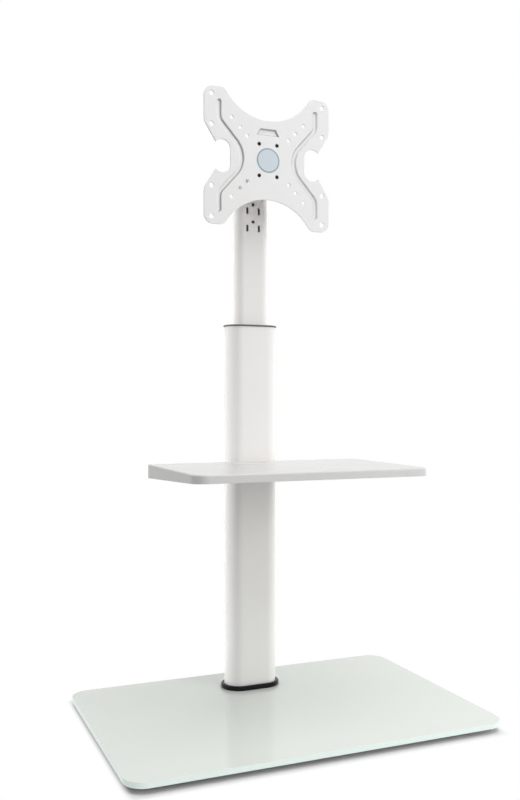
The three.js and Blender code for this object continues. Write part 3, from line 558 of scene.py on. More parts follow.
# Makes the object, gives it its wall and eased edges, and lets it stand for its CAD node
def finishPiece(bm, name, nodes, wall=0, ease=0.4 * mm, segments=2, finish=None, body=None):
    piece = linkMesh(name, bm)
    piece.data.shade_smooth()
    if wall:
        thick = piece.modifiers.new("wall", "SOLIDIFY")
        thick.thickness = wall
        thick.offset = -1
        thick.use_even_offset = True
    if ease:
        soft = piece.modifiers.new("easedEdges", "BEVEL")
        soft.width = ease
        soft.segments = segments
        soft.limit_method = "ANGLE"
        soft.angle_limit = radians(32)  # rounded stretches turn by less at each step
        soft.use_clamp_overlap = True
    piece.modifiers.new("evenShading", "WEIGHTED_NORMAL")
    slot = slotOf[nodes[0]] if nodes else "white_paint"
    piece.data.materials.append(finish or finishes[slot])
    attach(piece, body or frame["nodes"][nodes[0]]["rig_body"])
    if nodes:
        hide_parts(*nodes)


# Stands a turned or swept piece, drawn from level 0 up, on its node's place
def standPiece(bm, name, node):
    low, _, middle = sizeOf(node)
    moveTo(bm, (middle.x, middle.y, low.z))
    weld(bm)
    finishPiece(bm, name, [node], ease=0)


# Glass base
def makeGlassBase():
    glass = dict(corner=30 * mm, arris=1 * mm, boltHole=6 * mm)
    low, high, _ = sizeOf("glass_base")
    bm = bmesh.new()
    edges = drawBox(bm, flat, low.x, low.y, high.x, high.y, glass["corner"], glass["corner"], 24)
    for bush in middlesOf("glass_bush", 4):
        edges += drawCircle(bm, flat, bush.x, bush.y, glass["boltHole"])
    extrudeBy(bm, fillFlat(bm, edges), (0, 0, high.z - low.z))
    moveTo(bm, (0, 0, low.z))
    weld(bm)
    finishPiece(bm, "glassBase", ["glass_base"], ease=glass["arris"], segments=3)


# Foot pads: turned rubber discs with grip rings below
def makeFootPads():
    pad = dict(ease=1.5 * mm, ringPitch=4 * mm, ringDepth=0.8 * mm, rings=3)
    for i in range(6):
        node = f"foot_pad_{i + 1}"
        low, high, _ = sizeOf(node)
        radius = (high.x - low.x) / 2
        ease = pad["ease"]
        bm = bmesh.new()

        def profile(plane):
            pen = Pen(bm, plane, 0, high.z).line(radius - ease / 2, high.z)
            pen.arc(radius - ease / 2, high.z - ease / 2, -90, 3)
            pen.line(radius, ease).arc(radius - ease, ease, -90, 4)
            for ring in range(pad["rings"]):
                outer = radius - ease - (ring + 0.5) * pad["ringPitch"]
                step = pad["ringPitch"] / 8
                pen.line(outer + step, 0).line(outer, pad["ringDepth"])
                pen.line(outer - 2 * step, pad["ringDepth"]).line(outer - 3 * step, 0)
            pen.line(0, 0)

        turnProfile(bm, profile, 40)
        standPiece(bm, f"footPad{i + 1}", node)


# Foot ring: an oval tray with a rolled rim, drilled for the base bolts
def makeFootRing():
    ring = dict(roll=3 * mm, inner=0.8 * mm, floor=2 * mm, boltHole=4.3 * mm)
    low, high, middle = sizeOf("foot_ring")
    columnLow, columnHigh, _ = sizeOf("lower_column")
    outer = (high.y - low.y) / 2
    recess = (columnHigh.y - columnLow.y) / 2 + fitGap
    height = high.z - low.z
    bm = bmesh.new()

    def profile(plane):
        inner, roll = ring["inner"], ring["roll"]
        pen = Pen(bm, plane, recess, ring["floor"]).line(recess, height - inner)
        pen.arc(recess + inner, height - inner, -90, 4).line(outer - roll, height)
        pen.arc(outer - roll, height - roll, -90, 8).line(outer, 0)

    sweepOval(bm, (high.x - low.x) / 2 - outer, profile, 28)
    under = openEdges(bm, 0)
    holes = []
    for bolt in middlesOf("base_bolt", 4):
        holes += drawCircle(bm, flat, bolt.x - middle.x, bolt.y - middle.y, ring["boltHole"])
    fillFlat(bm, under + holes)
    extrudeEdges(bm, holes, (0, 0, ring["floor"]))
    fillFlat(bm, openEdges(bm, ring["floor"]))
    standPiece(bm, "footRing", "foot_ring")


# A flat-oval tube with drilled front and rear walls, standing on z = 0 about the Z axis
def makeTube(bm, width, depth, height, frontHoles, rearHoles):
    reach = (width - depth) / 2
    for turn, drawHoles in ((0, frontHoles), (pi, rearHoles)):
        plane = Matrix.Rotation(turn, 4, "Z") @ Matrix.Translation((0, -depth / 2, 0)) @ upright
        edges = drawBox(bm, plane, -reach, 0, reach, height)
        for hole in drawHoles(plane):
            edges += hole
        fillFlat(bm, edges)
    for side in (1, -1):
        seam = Vector((side * reach, -side * depth / 2))
        start = [vert for vert in bm.verts if (vert.co.xy - seam).length < tiny]
        border = [edge for edge in bm.edges if edge.verts[0] in start and edge.verts[1] in start]
        bmesh.ops.spin(
            bm, geom=start + border, cent=(side * reach, 0, 0), axis=(0, 0, 1), angle=pi, steps=24
        )
    weld(bm)


def makeLowerColumn():
    column = dict(wall=2 * mm, cableWidth=26 * mm, cableHeight=50 * mm, screwHole=3.3 * mm)
    low, high, middle = sizeOf("lower_column")
    bm = bmesh.new()

    def frontHoles(plane):
        return drawBoltHoles(bm, plane, "shelf_bolt", 2, column["screwHole"], low.z)

    def rearHoles(plane):
        for node in ("cable_grommet_low", "cable_grommet_high"):
            level = sizeOf(node)[2].z - low.z
            yield drawSlot(bm, plane, 0, level, column["cableWidth"], column["cableHeight"])
        yield from drawBoltHoles(bm, plane, "lock_screw", 2, column["screwHole"], low.z)

    makeTube(bm, *(high - low), frontHoles, rearHoles)
    moveTo(bm, (0, middle.y, low.z))
    finishPiece(bm, "lowerColumn", ["lower_column"], wall=column["wall"])


# Upper column with its sets of one round hole over two slots
def makeUpperColumn():
    column = dict(
        wall=2 * mm, sets=5, pitch=30 * mm, topDrop=18 * mm, hole=3 * mm, slotSpan=21.6 * mm, ease=0.25 * mm,
        slotWidth=4 * mm, slotHeight=12 * mm, slotDrop=11.3 * mm, cableWidth=18 * mm, cableHeight=40 * mm,
    )
    low, high, middle = sizeOf("upper_column")
    bm = bmesh.new()

    def frontHoles(plane):
        for i in range(column["sets"]):
            level = high.z - low.z - column["topDrop"] - i * column["pitch"]
            yield drawCircle(bm, plane, 0, level, column["hole"])
            for side in (-1, 1):
                yield drawSlot(
                    bm, plane, side * column["slotSpan"] / 2, level - column["slotDrop"],
                    column["slotWidth"], column["slotHeight"], 8,
                )

    def rearHoles(plane):
        level = sizeOf("cable_grommet_mast")[2].z - low.z
        yield drawSlot(bm, plane, 0, level, column["cableWidth"], column["cableHeight"])

    makeTube(bm, *(high - low), frontHoles, rearHoles)
    moveTo(bm, (0, middle.y, low.z))
    finishPiece(bm, "upperColumn", ["upper_column"], wall=column["wall"], ease=column["ease"])


# Collar: a flange over the tube's rim, with a bush that goes down inside it
def makeCollar():
    collar = dict(flange=2.5 * mm, ease=1.5 * mm, wall=2 * mm)
    low, high, _ = sizeOf("collar")
    outerLow, outerHigh, _ = sizeOf("lower_column")
    innerLow, innerHigh, _ = sizeOf("upper_column")
    rim = (high.y - low.y) / 2
    bush = (outerHigh.y - outerLow.y) / 2 - collar["wall"] - fitGap
    mouth = (innerHigh.y - innerLow.y) / 2 + fitGap
    height = high.z - low.z
    ease = collar["ease"]
    bm = bmesh.new()

    def outside(plane):
        under = height - collar["flange"]
        pen = Pen(bm, plane, bush, 0).line(bush, under).line(rim - ease / 2, under)
        pen.arc(rim - ease / 2, under + ease / 2, 90, 3)
        pen.line(rim, height - ease).arc(rim - ease, height - ease, 90, 5)

    def inside(plane):
        pen = Pen(bm, plane, mouth, 0).line(mouth, height - ease / 2)
        pen.arc(mouth + ease / 2, height - ease / 2, -90, 3)

    sweepOval(bm, (high.x - low.x) / 2 - rim, outside, 24)
    sweepOval(bm, (innerHigh.x - innerLow.x) / 2 - mouth + fitGap, inside, 24)
    for level in (0, height):
        fillFlat(bm, openEdges(bm, level))
    standPiece(bm, "collarRing", "collar")


# Cap plugged in the top of the upper column
def makeTopCap():
    cap = dict(lid=3 * mm, ease=1.4 * mm, wall=2 * mm)
    low, high, _ = sizeOf("top_cap")
    rim = (high.y - low.y) / 2
    plug = rim - cap["wall"] - fitGap
    height = high.z - low.z
    under = height - cap["lid"]
    bm = bmesh.new()

    def profile(plane):
        pen = Pen(bm, plane, plug, 0).line(plug, under).line(rim, under).line(rim, height - cap["ease"])
        pen.arc(rim - cap["ease"], height - cap["ease"], 90, 6)

    sweepOval(bm, (high.x - low.x) / 2 - rim, profile, 20)
    bmesh.ops.holes_fill(bm, edges=openEdges(bm), sides=0)
    standPiece(bm, "topCap", "top_cap")


# Grommets: a soft lip round an oval neck, swept lying down and then stood against the rear wall
def makeGrommets():
    grommet = dict(lip=3 * mm, lipThick=1.6 * mm, wall=1.7 * mm)
    standing = Matrix(((0, 1, 0), (0, 0, 1), (1, 0, 0))).to_4x4()
    for name in ("low", "high", "mast"):
        node = f"cable_grommet_{name}"
        low, high, middle = sizeOf(node)
        lip = (high.x - low.x) / 2
        neck = lip - grommet["lip"] - fitGap
        duct = neck - grommet["wall"]
        depth = high.y - low.y
        under = depth - grommet["lipThick"]
        ease = grommet["lipThick"] / 2
        bm = bmesh.new()

        def profile(plane):
            pen = Pen(bm, plane, duct, 0).line(duct, depth - ease).arc(duct + ease, depth - ease, -90, 4)
            pen.line(lip - ease, depth).arc(lip - ease, depth - ease, -90, 5).line(lip, under)
            pen.line(neck, under).line(neck, 0).close()

        sweepOval(bm, (high.z - low.z) / 2 - lip, profile, 18)
        weld(bm)
        moveTo(bm, (middle.x, low.y, middle.z), standing)
        finishPiece(bm, f"cableGrommet{name.capitalize()}", [node], ease=0)


# Puts the shelf bolts' holes in the plain rear face of a folded sheet
def drillRear(bm, rear, radius):
    face = max(bm.faces, key=lambda item: item.calc_area() * (item.normal.y > square))
    edges = list(face.edges)
    bmesh.ops.delete(bm, geom=[face], context="FACES_ONLY")
    for hole in drawBoltHoles(bm, Matrix.Translation((0, rear, 0)) @ upright, "shelf_bolt", 2, radius):
        edges += hole
    fillFlat(bm, edges)
    weld(bm)
    faceTowards(bm, (0, 0, 1))


# Shelf: a folded tray whose side flanges deepen towards the column
def makeShelf():
    shelf = dict(
        frontCorner=22 * mm, rearCorner=6 * mm, rearFlange=23 * mm, frontFlange=12.5 * mm,
        wall=2 * mm, bend=2.4 * mm, boltHole=3.3 * mm, ease=0.3 * mm,
    )
    low, high, _ = sizeOf("shelf")
    bm = bmesh.new()
    outline = drawBox(
        bm, Matrix.Translation((0, 0, high.z)), low.x, low.y, high.x, high.y,
        shelf["frontCorner"], shelf["rearCorner"], 16,
    )
    bmesh.ops.edgeloop_fill(bm, edges=outline)
    verts, _ = extrudeEdges(bm, outline, (0, 0, 0))
    for vert in verts:
        share = (vert.co.y - low.y) / (high.y - low.y)
        vert.co.z = high.z - shelf["frontFlange"] - share * (shelf["rearFlange"] - shelf["frontFlange"])
    bmesh.ops.recalc_face_normals(bm, faces=bm.faces)
    roundEdges(bm, outline, shelf["bend"], 5)
    drillRear(bm, high.y, shelf["boltHole"])
    finishPiece(bm, "shelfTray", ["shelf"], wall=shelf["wall"], ease=shelf["ease"], finish=shelfShadedPaint)


# Channel under the shelf: open below and in front, shallower towards the front
def makeShelfChannel():
    channel = dict(tail=7 * mm, wall=2.5 * mm, bend=2.6 * mm, boltHole=3.3 * mm, ease=0.3 * mm)
    low, high, middle = sizeOf("shelf_channel")
    bm = bmesh.new()
    size = Matrix.Diagonal((*(high - low), 1))
    bmesh.ops.create_cube(bm, size=1, matrix=Matrix.Translation(middle) @ size)
    gone = [face for face in bm.faces if face.normal.z < -square or face.normal.y < -square]
    bmesh.ops.delete(bm, geom=gone, context="FACES")
    for vert in bm.verts:
        if vert.co.z < middle.z and vert.co.y < middle.y:
            vert.co.z = high.z - channel["tail"]
    roundEdges(bm, [edge for edge in bm.edges if not edge.is_boundary], channel["bend"], 4)
    drillRear(bm, high.y, channel["boltHole"])
    finishPiece(
        bm, "shelfChannel", ["shelf_channel"], wall=channel["wall"], ease=channel["ease"], finish=shelfShadedPaint
    )


# A folded channel with a round lug above and below: the bracket's lugs look forwards, the head's back
def makeLugChannel(name, node, back, lug):
    low, high, middle = sizeOf(node)
    pin = sizeOf("pivot_bolt")[2]
    half = (high.z - low.z) / 2
    side, radius = lug["width"] / 2, lug["radius"]
    lead = Vector((side, back + lug["bendReach"] - pin.y))
    behind = lead.y > 0
    turn = atan2(sqrt(lead.length ** 2 - radius ** 2), radius)
    slant = degrees(atan2(lead.y, lead.x) + (-turn if behind else turn))
    sweep = (-180 if behind else 180) - 2 * slant
    bm = bmesh.new()
    for level in (-half, half):
        plane = Matrix.Translation((0, 0, middle.z + level))
        pen = Pen(bm, plane, side, back).line(side, pin.y + lead.y)
        pen.line(radius * cos(radians(slant)), pin.y + radius * sin(radians(slant)))
        pen.arc(0, pin.y, sweep, 24).line(-side, pin.y + lead.y).line(-side, back)
        edges = pen.close()
        fillFlat(bm, edges + drawCircle(bm, plane, 0, pin.y, lug["pivotHole"]))
    plane = Matrix.Translation((0, back, middle.z)) @ upright
    edges = drawBox(bm, plane, -side, -half, side, half)
    for hole in drawBoltHoles(bm, plane, *lug["bolts"], lug["boltHole"], middle.z):
        edges += hole
    fillFlat(bm, edges)
    weld(bm)
    folds = [edge for edge in bm.edges if not edge.is_boundary and edge.calc_face_angle() > radians(45)]
    roundEdges(bm, folds, lug["bend"], 5)
    faceTowards(bm, (0, 1 if behind else -1, 0))
    finishPiece(bm, name, [node], wall=lug["wall"], ease=lug["ease"])


def makeBracketAndHead():
    both = dict(radius=13 * mm, pivotHole=4.3 * mm, wall=3 * mm, ease=0.35 * mm)
    bracket = dict(
        width=46 * mm, bendReach=-3 * mm, bend=2.9 * mm, bolts=("bracket_bolt", 2), boltHole=2.8 * mm, **both,
    )
    head = dict(
        width=62 * mm, bendReach=7 * mm, bend=3.4 * mm, bolts=("plate_screw", 4), boltHole=2 * mm, **both,
    )
    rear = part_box("upper_column")[0].y - fitGap
    makeLugChannel("columnBracket", "column_bracket", rear, bracket)
    makeLugChannel("swivelHead", "swivel_head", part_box("swivel_head")[0].y, head)


# Television plate. The slope is how far a wall of the pocket has to lean to lie in shadow.
plate = dict(
    thick=3 * mm, corner=16 * mm, innerCorner=14 * mm, bayRadius=88 * mm, bayWaist=65.7 * mm,
    sideStart=54 * mm, sideEase=7 * mm, notchReach=67 * mm, notchHalf=27 * mm, notchRadius=14.5 * mm,
    notchTip=40, ease=0.5 * mm,
)
# the fade width is the strip of floor across which the painted shade fades out from the foot of a shaded wall
groove = dict(
    waist=47 * mm, arm=87 * mm, end=88 * mm, half=4.25 * mm, slant=42, waistRadius=40 * mm,
    kneeRadius=18 * mm, depth=3.4 * mm, draft=0.9 * mm, shadeFadeWidth=1.8 * mm,
)
pocket = dict(
    bottom=41 * mm, top=52.5 * mm, bottomHalf=20.5 * mm, topHalf=14 * mm, depth=3.4 * mm, draft=0.9 * mm,
    shadeFadeWidth=1.5 * mm, slope=0.3,
)
# a quarter of the screw holes, most of them on the usual squares of televisions
screwHoles = dict(
    large=4.2 * mm, largePlaces=((100 * mm, 100 * mm), (100 * mm, 50 * mm)),
    small=3.2 * mm, smallPlaces=((65 * mm, 65 * mm), (50 * mm, 50 * mm), (37.5 * mm, 37.5 * mm)),
)


# Half of one groove is drawn, waist, slant and arm with a round end, and mirrored twice
def drawGrooves(bm):
    turn = groove["slant"]
    slant = radians(turn)
    radii = groove["waistRadius"] + groove["kneeRadius"]
    straight = (groove["arm"] - groove["waist"] - radii * (1 - cos(slant))) / sin(slant)
    knee = radii * sin(slant) + straight * cos(slant)
    waistCentre = groove["waist"] + groove["waistRadius"]
    kneeCentre = groove["arm"] - groove["kneeRadius"]

    def side(pen, offset, upwards):
        waistRadius = groove["waistRadius"] - offset
        kneeRadius = groove["kneeRadius"] + offset
        if upwards:
            pen.arc(waistCentre, 0, -turn, 14)
            pen.line(kneeCentre + kneeRadius * cos(slant), knee - kneeRadius * sin(slant))
            pen.arc(kneeCentre, knee, turn, 10).line(kneeCentre + kneeRadius, groove["end"])
        else:
            pen.line(kneeCentre + kneeRadius, knee).arc(kneeCentre, knee, -turn, 10)
            pen.line(waistCentre - waistRadius * cos(slant), waistRadius * sin(slant))
            pen.arc(waistCentre, 0, turn, 14)

    known = partsOf(bm)
    pen = Pen(bm, flat, groove["waist"] + groove["half"], 0)
    side(pen, groove["half"], True)
    pen.arc(groove["arm"], groove["end"], 180, 10)
    side(pen, -groove["half"], False)
    mirrorTwice(bm, known)


def drawPocket(bm):
    pen = Pen(bm, flat, -pocket["bottomHalf"], pocket["bottom"]).line(pocket["bottomHalf"], pocket["bottom"])
    pen.line(pocket["topHalf"], pocket["top"]).line(-pocket["topHalf"], pocket["top"]).close()


# In the pocket the walls that look down or left lie in shadow, in a groove those that look outwards
def isShaded(wall, press):
    if press is pocket:
        return min(wall.normal.x, wall.normal.y) < -press["slope"]
    return wall.normal.x * wall.calc_center_median().x > 0


# Presses the drawn outlines in, and marks a painted shade along the foot of their shaded walls, fading out
# across a strip of each form's floor
def pressForms(bm):
    bmesh.ops.edgeloop_fill(bm, edges=list(bm.edges))
    bmesh.ops.recalc_face_normals(bm, faces=bm.faces)
    faceTowards(bm, (0, 0, 1))
    # painted shade: 1 along the foot of a shaded wall, fading to 0 across the strip within
    paintedShade = bm.verts.layers.float.new("paintedShade")
    for face in list(bm.faces):
        press = pocket if abs(face.calc_center_bounds().x) < pocket["topHalf"] else groove
        walls = insetBy(bm, face, press["draft"], -press["depth"])
        bm.normal_update()
        for wall in walls:
            if isShaded(wall, press):
                for vert in wall.verts:
                    vert[paintedShade] = float(vert.co.z < -press["depth"] / 2)
        insetBy(bm, face, press["shadeFadeWidth"])
        for vert in face.verts:
            vert[paintedShade] = 0.0


# A quarter of the outline, from the middle of its side round to the middle of its top
def drawPlateQuarter(bm, halfWidth, halfHeight):
    notchX = plate["notchReach"] + plate["notchRadius"]
    notchY = plate["notchHalf"] - plate["notchRadius"]
    tipAngle = radians(plate["notchTip"])
    tip = Vector((notchX, notchY)) + Vector((cos(tipAngle), sin(tipAngle))) * plate["notchRadius"]
    corner = Vector((halfWidth, plate["sideStart"]))
    along = (corner - tip).normalized()
    bend = 90 - degrees(atan2(along.y, along.x))
    easeRadius = plate["sideEase"] / tan(radians(bend / 2))
    bayMiddle = plate["bayWaist"] + plate["bayRadius"]
    innerY = halfHeight - plate["innerCorner"]
    innerX = sqrt((plate["bayRadius"] + plate["innerCorner"]) ** 2 - (bayMiddle - innerY) ** 2)
    bayAngle = degrees(atan2(innerY - bayMiddle, innerX))
    pen = Pen(bm, flat, plate["notchReach"], 0).line(plate["notchReach"], notchY)
    pen.arc(notchX, notchY, plate["notchTip"] - 180, 16)
    pen.line(*(corner - along * plate["sideEase"]))
    pen.arc(halfWidth - easeRadius, plate["sideStart"] + plate["sideEase"], bend, 5)
    pen.line(halfWidth, halfHeight - plate["corner"])
    pen.arc(halfWidth - plate["corner"], halfHeight - plate["corner"], 90, 12)
    pen.line(innerX, halfHeight).arc(innerX, innerY, 90 + bayAngle, 8)
    pen.arc(0, bayMiddle, -90 - bayAngle, 20)


def makeTvPlate():
    low, high, middle = sizeOf("tv_plate")
    own = sizeOf("plate_screw_3")[2] - middle
    bm = bmesh.new()
    drawGrooves(bm)
    drawPocket(bm)
    pressForms(bm)
    lips = openEdges(bm)
    known = partsOf(bm)
    drawPlateQuarter(bm, (high.x - low.x) / 2, (high.z - low.z) / 2)
    for x, y in screwHoles["largePlaces"]:
        drawCircle(bm, flat, x, y, screwHoles["large"], 20)
    for x, y in (*screwHoles["smallPlaces"], (own.x, own.z)):
        drawCircle(bm, flat, x, y, screwHoles["small"], 20)
    mirrorTwice(bm, known)
    fillFlat(bm, [edge for edge in bm.edges if edge not in known] + lips)
    weld(bm)
    faceTowards(bm, (0, 0, 1))
    moveTo(bm, (middle.x, low.y, middle.z), upright)
    finishPiece(
        bm, "tvPlate", ["tv_plate"], wall=plate["thick"], ease=plate["ease"], segments=3, finish=platePaint
    )


# A plain disc stands where the real plate has its round label
def makePlateDisc():
    disc = dict(radius=20.5 * mm, thick=0.3 * mm, ease=0.1 * mm)
    low, _, middle = sizeOf("tv_plate")
    bm = bmesh.new()

    def profile(plane):
        pen = Pen(bm, plane, 0, 0).line(disc["radius"], 0)
        pen.line(disc["radius"], disc["thick"]).line(0, disc["thick"])

    turnProfile(bm, profile, 64)
    weld(bm)
    moveTo(bm, (middle.x, low.y, middle.z), upright)
    finishPiece(bm, "plateDisc", [], ease=disc["ease"], finish=makeDiscFilm(), body="head")


# A hexagonal recess in the middle of a round head, sunk from the given level
def sinkSocket(bm, edges, across, level, depth):
    known = set(bm.edges)
    rim = drawCircle(bm, Matrix.Translation((0, 0, level)), 0, 0, across / sqrt(3), 6)
    bmesh.ops.subdivide_edges(bm, edges=rim, cuts=len(edges) // 6 - 1)
    rim = [edge for edge in bm.edges if edge not in known]
    bmesh.ops.bridge_loops(bm, edges=edges + rim)
    _, floor = extrudeEdges(bm, rim, (0, 0, -depth))
    bmesh.ops.edgeloop_fill(bm, edges=floor)


# Socket screws, with the way that their heads look
screwKinds = dict(
    lockScrew=dict(
        node="lock_screw", towards=(0, 1, 0), head=6 * mm, shank=3 * mm, ease=0.6 * mm,
        dome=0, rim=3.4 * mm, across=5 * mm, sink=0.4 * mm, depth=2.6 * mm,
    ),
    shelfBolt=dict(
        node="shelf_bolt", towards=(0, -1, 0), head=3 * mm, shank=3 * mm, ease=0.4 * mm,
        dome=1.2 * mm, rim=2.7 * mm, across=4 * mm, sink=0.2 * mm, depth=1.6 * mm,
    ),
    bracketBolt=dict(
        node="bracket_bolt", towards=(0, -1, 0), head=3.4 * mm, shank=2.5 * mm, ease=0.4 * mm,
        dome=1.2 * mm, rim=2.1 * mm, across=3 * mm, sink=0.2 * mm, depth=1.6 * mm,
    ),
    plateScrew=dict(
        node="plate_screw", towards=(0, -1, 0), head=1.7 * mm, shank=1.7 * mm, ease=0.25 * mm,
        dome=0.7 * mm, rim=1.35 * mm, across=2 * mm, sink=0.15 * mm, depth=0.9 * mm,
    ),
)


# The head's radius and the whole length come from the node's box
def makeSocketScrew(kind, number):
    screw = screwKinds[kind]
    node = f"{screw['node']}_{number}"
    low, high, middle = sizeOf(node)
    radius = (high.x - low.x) / 2
    length = high.y - low.y
    shank, ease, dome, rim = screw["shank"], screw["ease"], screw["dome"], screw["rim"]
    shoulder = length - screw["head"]
    lastShare = 0.3  # the share of its rise that a rounded edge leaves to its last step
    bm = bmesh.new()

    def profile(plane):
        pen = Pen(bm, plane, 0, 0).line(shank - ease, 0).line(shank, ease)
        pen.line(shank, shoulder).line(radius - ease / 2, shoulder).line(radius, shoulder + ease / 2)
        pen.line(radius, length - ease - dome).line(radius - ease, length - dome - ease * lastShare)
        pen.line((radius + rim) / 2, length - dome * lastShare).line(rim, length)

    turnProfile(bm, profile, 24)
    sinkSocket(bm, openEdges(bm), screw["across"], length - screw["sink"], screw["depth"])
    moveTo(bm, (0, 0, -length / 2))
    weld(bm)
    turn = Vector(screw["towards"]).to_track_quat("Z", "Y").to_matrix().to_4x4()
    moveTo(bm, middle, turn)
    finishPiece(bm, f"{kind}{number}", [node], ease=0)


def makeScrews():
    for number in (1, 2):
        for kind in ("lockScrew", "shelfBolt", "bracketBolt"):
            makeSocketScrew(kind, number)
    for number in (1, 2, 3, 4):
        makeSocketScrew("plateScrew", number)


# Washers: thin turned rings about the pivot
def makeWashers():
    washer = dict(hole=4.3 * mm, ease=0.25 * mm)
    for kind in ("steel", "friction"):
        for i in (1, 2):
            node = f"{kind}_washer_{i}"
            low, high, _ = sizeOf(node)
            radius = (high.x - low.x) / 2
            thick = high.z - low.z
            bm = bmesh.new()

            def profile(plane):
                hole, ease = washer["hole"], washer["ease"]
                pen = Pen(bm, plane, hole, 0).line(radius - ease, 0).line(radius, ease)
                pen.line(radius, thick - ease).line(radius - ease, thick).line(hole, thick).close()

            turnProfile(bm, profile, 48)
            standPiece(bm, f"{kind}Washer{i}", node)


# Pivot: a hexagon bolt, and the locking nut below with its crown
pivot = dict(
    across=13 * mm, head=5.3 * mm, shank=4 * mm, ease=0.7 * mm, threads=8, pitch=1.25 * mm,
    threadDepth=0.5 * mm, nut=6.5 * mm, crown=5.5 * mm, hole=4.3 * mm,
)


# A hexagonal bar whose end has rounded edges
def drawHexBar(bm, start, end):
    edges = drawCircle(bm, Matrix.Translation((0, 0, start)), 0, 0, pivot["across"] / sqrt(3), 6)
    bmesh.ops.edgeloop_fill(bm, edges=edges)
    extruded = extrudeBy(bm, facesAt(bm, start), (0, 0, end - start))
    bmesh.ops.recalc_face_normals(bm, faces=bm.faces)
    rim = [edge for face in extruded if abs(face.normal.z) > square for edge in face.edges]
    roundEdges(bm, rim, pivot["ease"], 2)


def makePivotBolt():
    low, high, _ = sizeOf("pivot_bolt")
    length = high.z - low.z
    shoulder = length - pivot["head"]
    bm = bmesh.new()
    drawHexBar(bm, shoulder, length)

    def shank(plane):
        root = pivot["shank"] - pivot["threadDepth"]
        top = shoulder - 2 * tiny  # just clear of the head, so that the two don't merge
        pen = Pen(bm, plane, 0, 0).line(root, 0)
        for i in range(pivot["threads"]):
            pen.line(pivot["shank"], (i + 0.5) * pivot["pitch"]).line(root, (i + 1) * pivot["pitch"])
        pen.line(pivot["shank"], (pivot["threads"] + 0.5) * pivot["pitch"])
        pen.line(pivot["shank"], top).line(0, top)

    turnProfile(bm, shank, 24)
    standPiece(bm, "pivotBolt", "pivot_bolt")


def makePivotNut():
    low, high, _ = sizeOf("pivot_nut")
    height = high.z - low.z
    crownHeight = height - pivot["nut"]
    bm = bmesh.new()
    drawHexBar(bm, height, crownHeight)
    for level, radius in ((crownHeight, pivot["crown"]), (height, pivot["hole"])):
        caps = facesAt(bm, level)
        edges = [edge for face in caps for edge in face.edges]
        bmesh.ops.delete(bm, geom=caps, context="FACES_ONLY")
        fillFlat(bm, edges + drawCircle(bm, Matrix.Translation((0, 0, level)), 0, 0, radius, 32))

    def crown(plane):
        ease = crownHeight / 2
        pen = Pen(bm, plane, pivot["crown"], crownHeight).line(pivot["crown"], ease)
        pen.arc(pivot["crown"] - ease, ease, -90, 4).line(pivot["hole"], 0).line(pivot["hole"], height)

    turnProfile(bm, crown, 32)
    standPiece(bm, "pivotNut", "pivot_nut")


# Camera, as solved on the plate's holes and the base's outline
def setCamera():
    view = dict(place=(-0.5834, -1.3169, 0.5097), pan=-22.72, lens=39.89, shift=0.0035)
    data = bpy.data.cameras.new("camera")
    data.lens = view["lens"]
    data.shift_y = view["shift"]
    camera = linkNew("camera", data)
    camera.location = view["place"]
    camera.rotation_euler = (radians(90), 0, radians(view["pan"]))
    bpy.context.scene.camera = camera


# Three soft lamps, and two gridded strips that light the column's flanks
def setLamps():
    lamps = dict(
        key=dict(place=(1.2, -1.4, 0.7), aim=(0, 0, 0.5), size=(0.9, 0.9), power=12),
        top=dict(place=(0.2, -1.1, 2.6), aim=(0, 0, 0.5), size=(2.2, 2.2), power=27.5),
        rear=dict(place=(1.6, 2.2, 2.0), aim=(0, 0, 0.6), size=(1.6, 1.6), power=8),
        leftStrip=dict(place=(-0.99, 0.6, 0.5), aim=(0, 0.122, 0.5), size=(0.08, 1.0), grid=12, power=0.3),
        rightStrip=dict(place=(1.0, 0.25, 0.5), aim=(0, 0.122, 0.5), size=(0.08, 1.0), grid=12, power=0.14),
    )
    for name, lamp in lamps.items():
        data = bpy.data.lights.new(name, "AREA")
        data.shape = "RECTANGLE"
        data.size, data.size_y = lamp["size"]
        data.spread = radians(lamp.get("grid", 180))
        data.energy = lamp["power"]
        shown = linkNew(name, data)
        shown.visible_glossy = name == "top"  # the others would show as patches in the gloss
        shown.location = lamp["place"]
        aim = Vector(lamp["aim"]) - Vector(lamp["place"])
        shown.rotation_euler = aim.to_track_quat("-Z", "Y").to_euler()


studio = dict(
    ambient=0.54,  # what lights the object from all round
    frontTone=0.45,  # what reflections find in front of the object, where the room is darker
    frontWindow=(-0.5, 0.3),  # from heading forwards to heading back, where that rises to white
    floorTone=0.92,
    bounceTone=0.36,  # the floor as the object's own sides see it
    shadowInset=0.01,  # metres inside the glass's two sides at which the shadow starts to fade
    shadowReach=0.015,  # metres beyond the glass over which the floor goes to plain white
    floorSize=14,
)


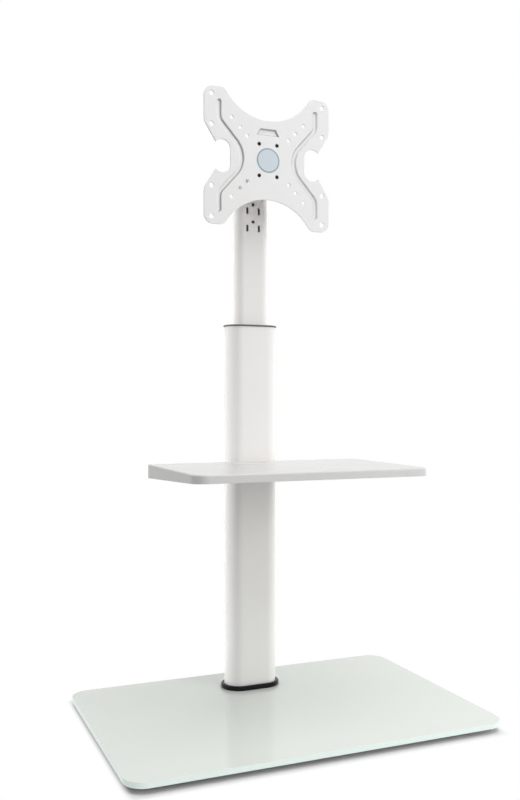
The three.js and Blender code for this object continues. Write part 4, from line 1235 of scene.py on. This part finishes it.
# The camera sees white, reflections a room that is dimmer in front, and all other light is an even grey
def setWorld():
    world = bpy.data.worlds.new("studio")
    bpy.context.scene.world = world
    nodes = Nodes(world)
    heading = nodes.add("TexCoord", {}, {}, out="Generated")
    rearShare = nodes.between(nodes.axis("Y", heading), *studio["frontWindow"])
    mirrored = rearShare * (1 - studio["frontTone"]) + studio["frontTone"]
    strength = nodes.whenSeen("Camera", 1.0, nodes.whenSeen("Glossy", mirrored, studio["ambient"]))
    background = nodes.add("Background", {}, {"Color": (1.0, 1.0, 1.0), "Strength": strength})
    nodes.add("OutputWorld", {}, {"Surface": background})


# A pale floor that keeps its shadow near the base and goes to plain white further out
def setFloor():
    high = cadBox[1]
    bm = bmesh.new()
    bmesh.ops.create_grid(bm, x_segments=1, y_segments=1, size=studio["floorSize"] / 2)
    floor = linkMesh("floor", bm)
    nodes = newFinish("floorPaper")
    place = nodes.place()
    beyondSide = (abs(nodes.axis("X", place)) - (high.x - studio["shadowInset"])).atLeast(0.0)
    beyondFront = (abs(nodes.axis("Y", place)) - high.y).atLeast(0.0)
    distance = (beyondSide * beyondSide + beyondFront * beyondFront) ** 0.5
    share = nodes.between(distance, 0.0, studio["shadowReach"])
    seenShare = nodes.whenSeen("Camera", share, nodes.whenSeen("Glossy", share, 0.0))
    tone = nodes.whenSeen("Camera", studio["floorTone"], studio["bounceTone"])
    paper = nodes.add("BsdfDiffuse", {}, {"Color": tone})
    glow = nodes.add("Emission", {}, {"Color": (1.0, 1.0, 1.0), "Strength": 1.0})
    shader = nodes.add("MixShader", {}, {0: seenShare, 1: paper, 2: glow})
    nodes.add("OutputMaterial", {}, {"Surface": shader})
    floor.data.materials.append(nodes.holder)


setCamera()
setLamps()
setWorld()
setFloor()
bpy.context.scene.view_settings.view_transform = "Standard"
print("camera, lamps and floor set")

makeGlassBase()
makeFootPads()
makeFootRing()
print("base made")
makeLowerColumn()
makeUpperColumn()
makeCollar()
makeTopCap()
makeGrommets()
print("column made")
makeShelf()
makeShelfChannel()
print("shelf made")
makeBracketAndHead()
makeTvPlate()
makePlateDisc()
makeScrews()
makeWashers()
makePivotBolt()
makePivotNut()
print("mount made")
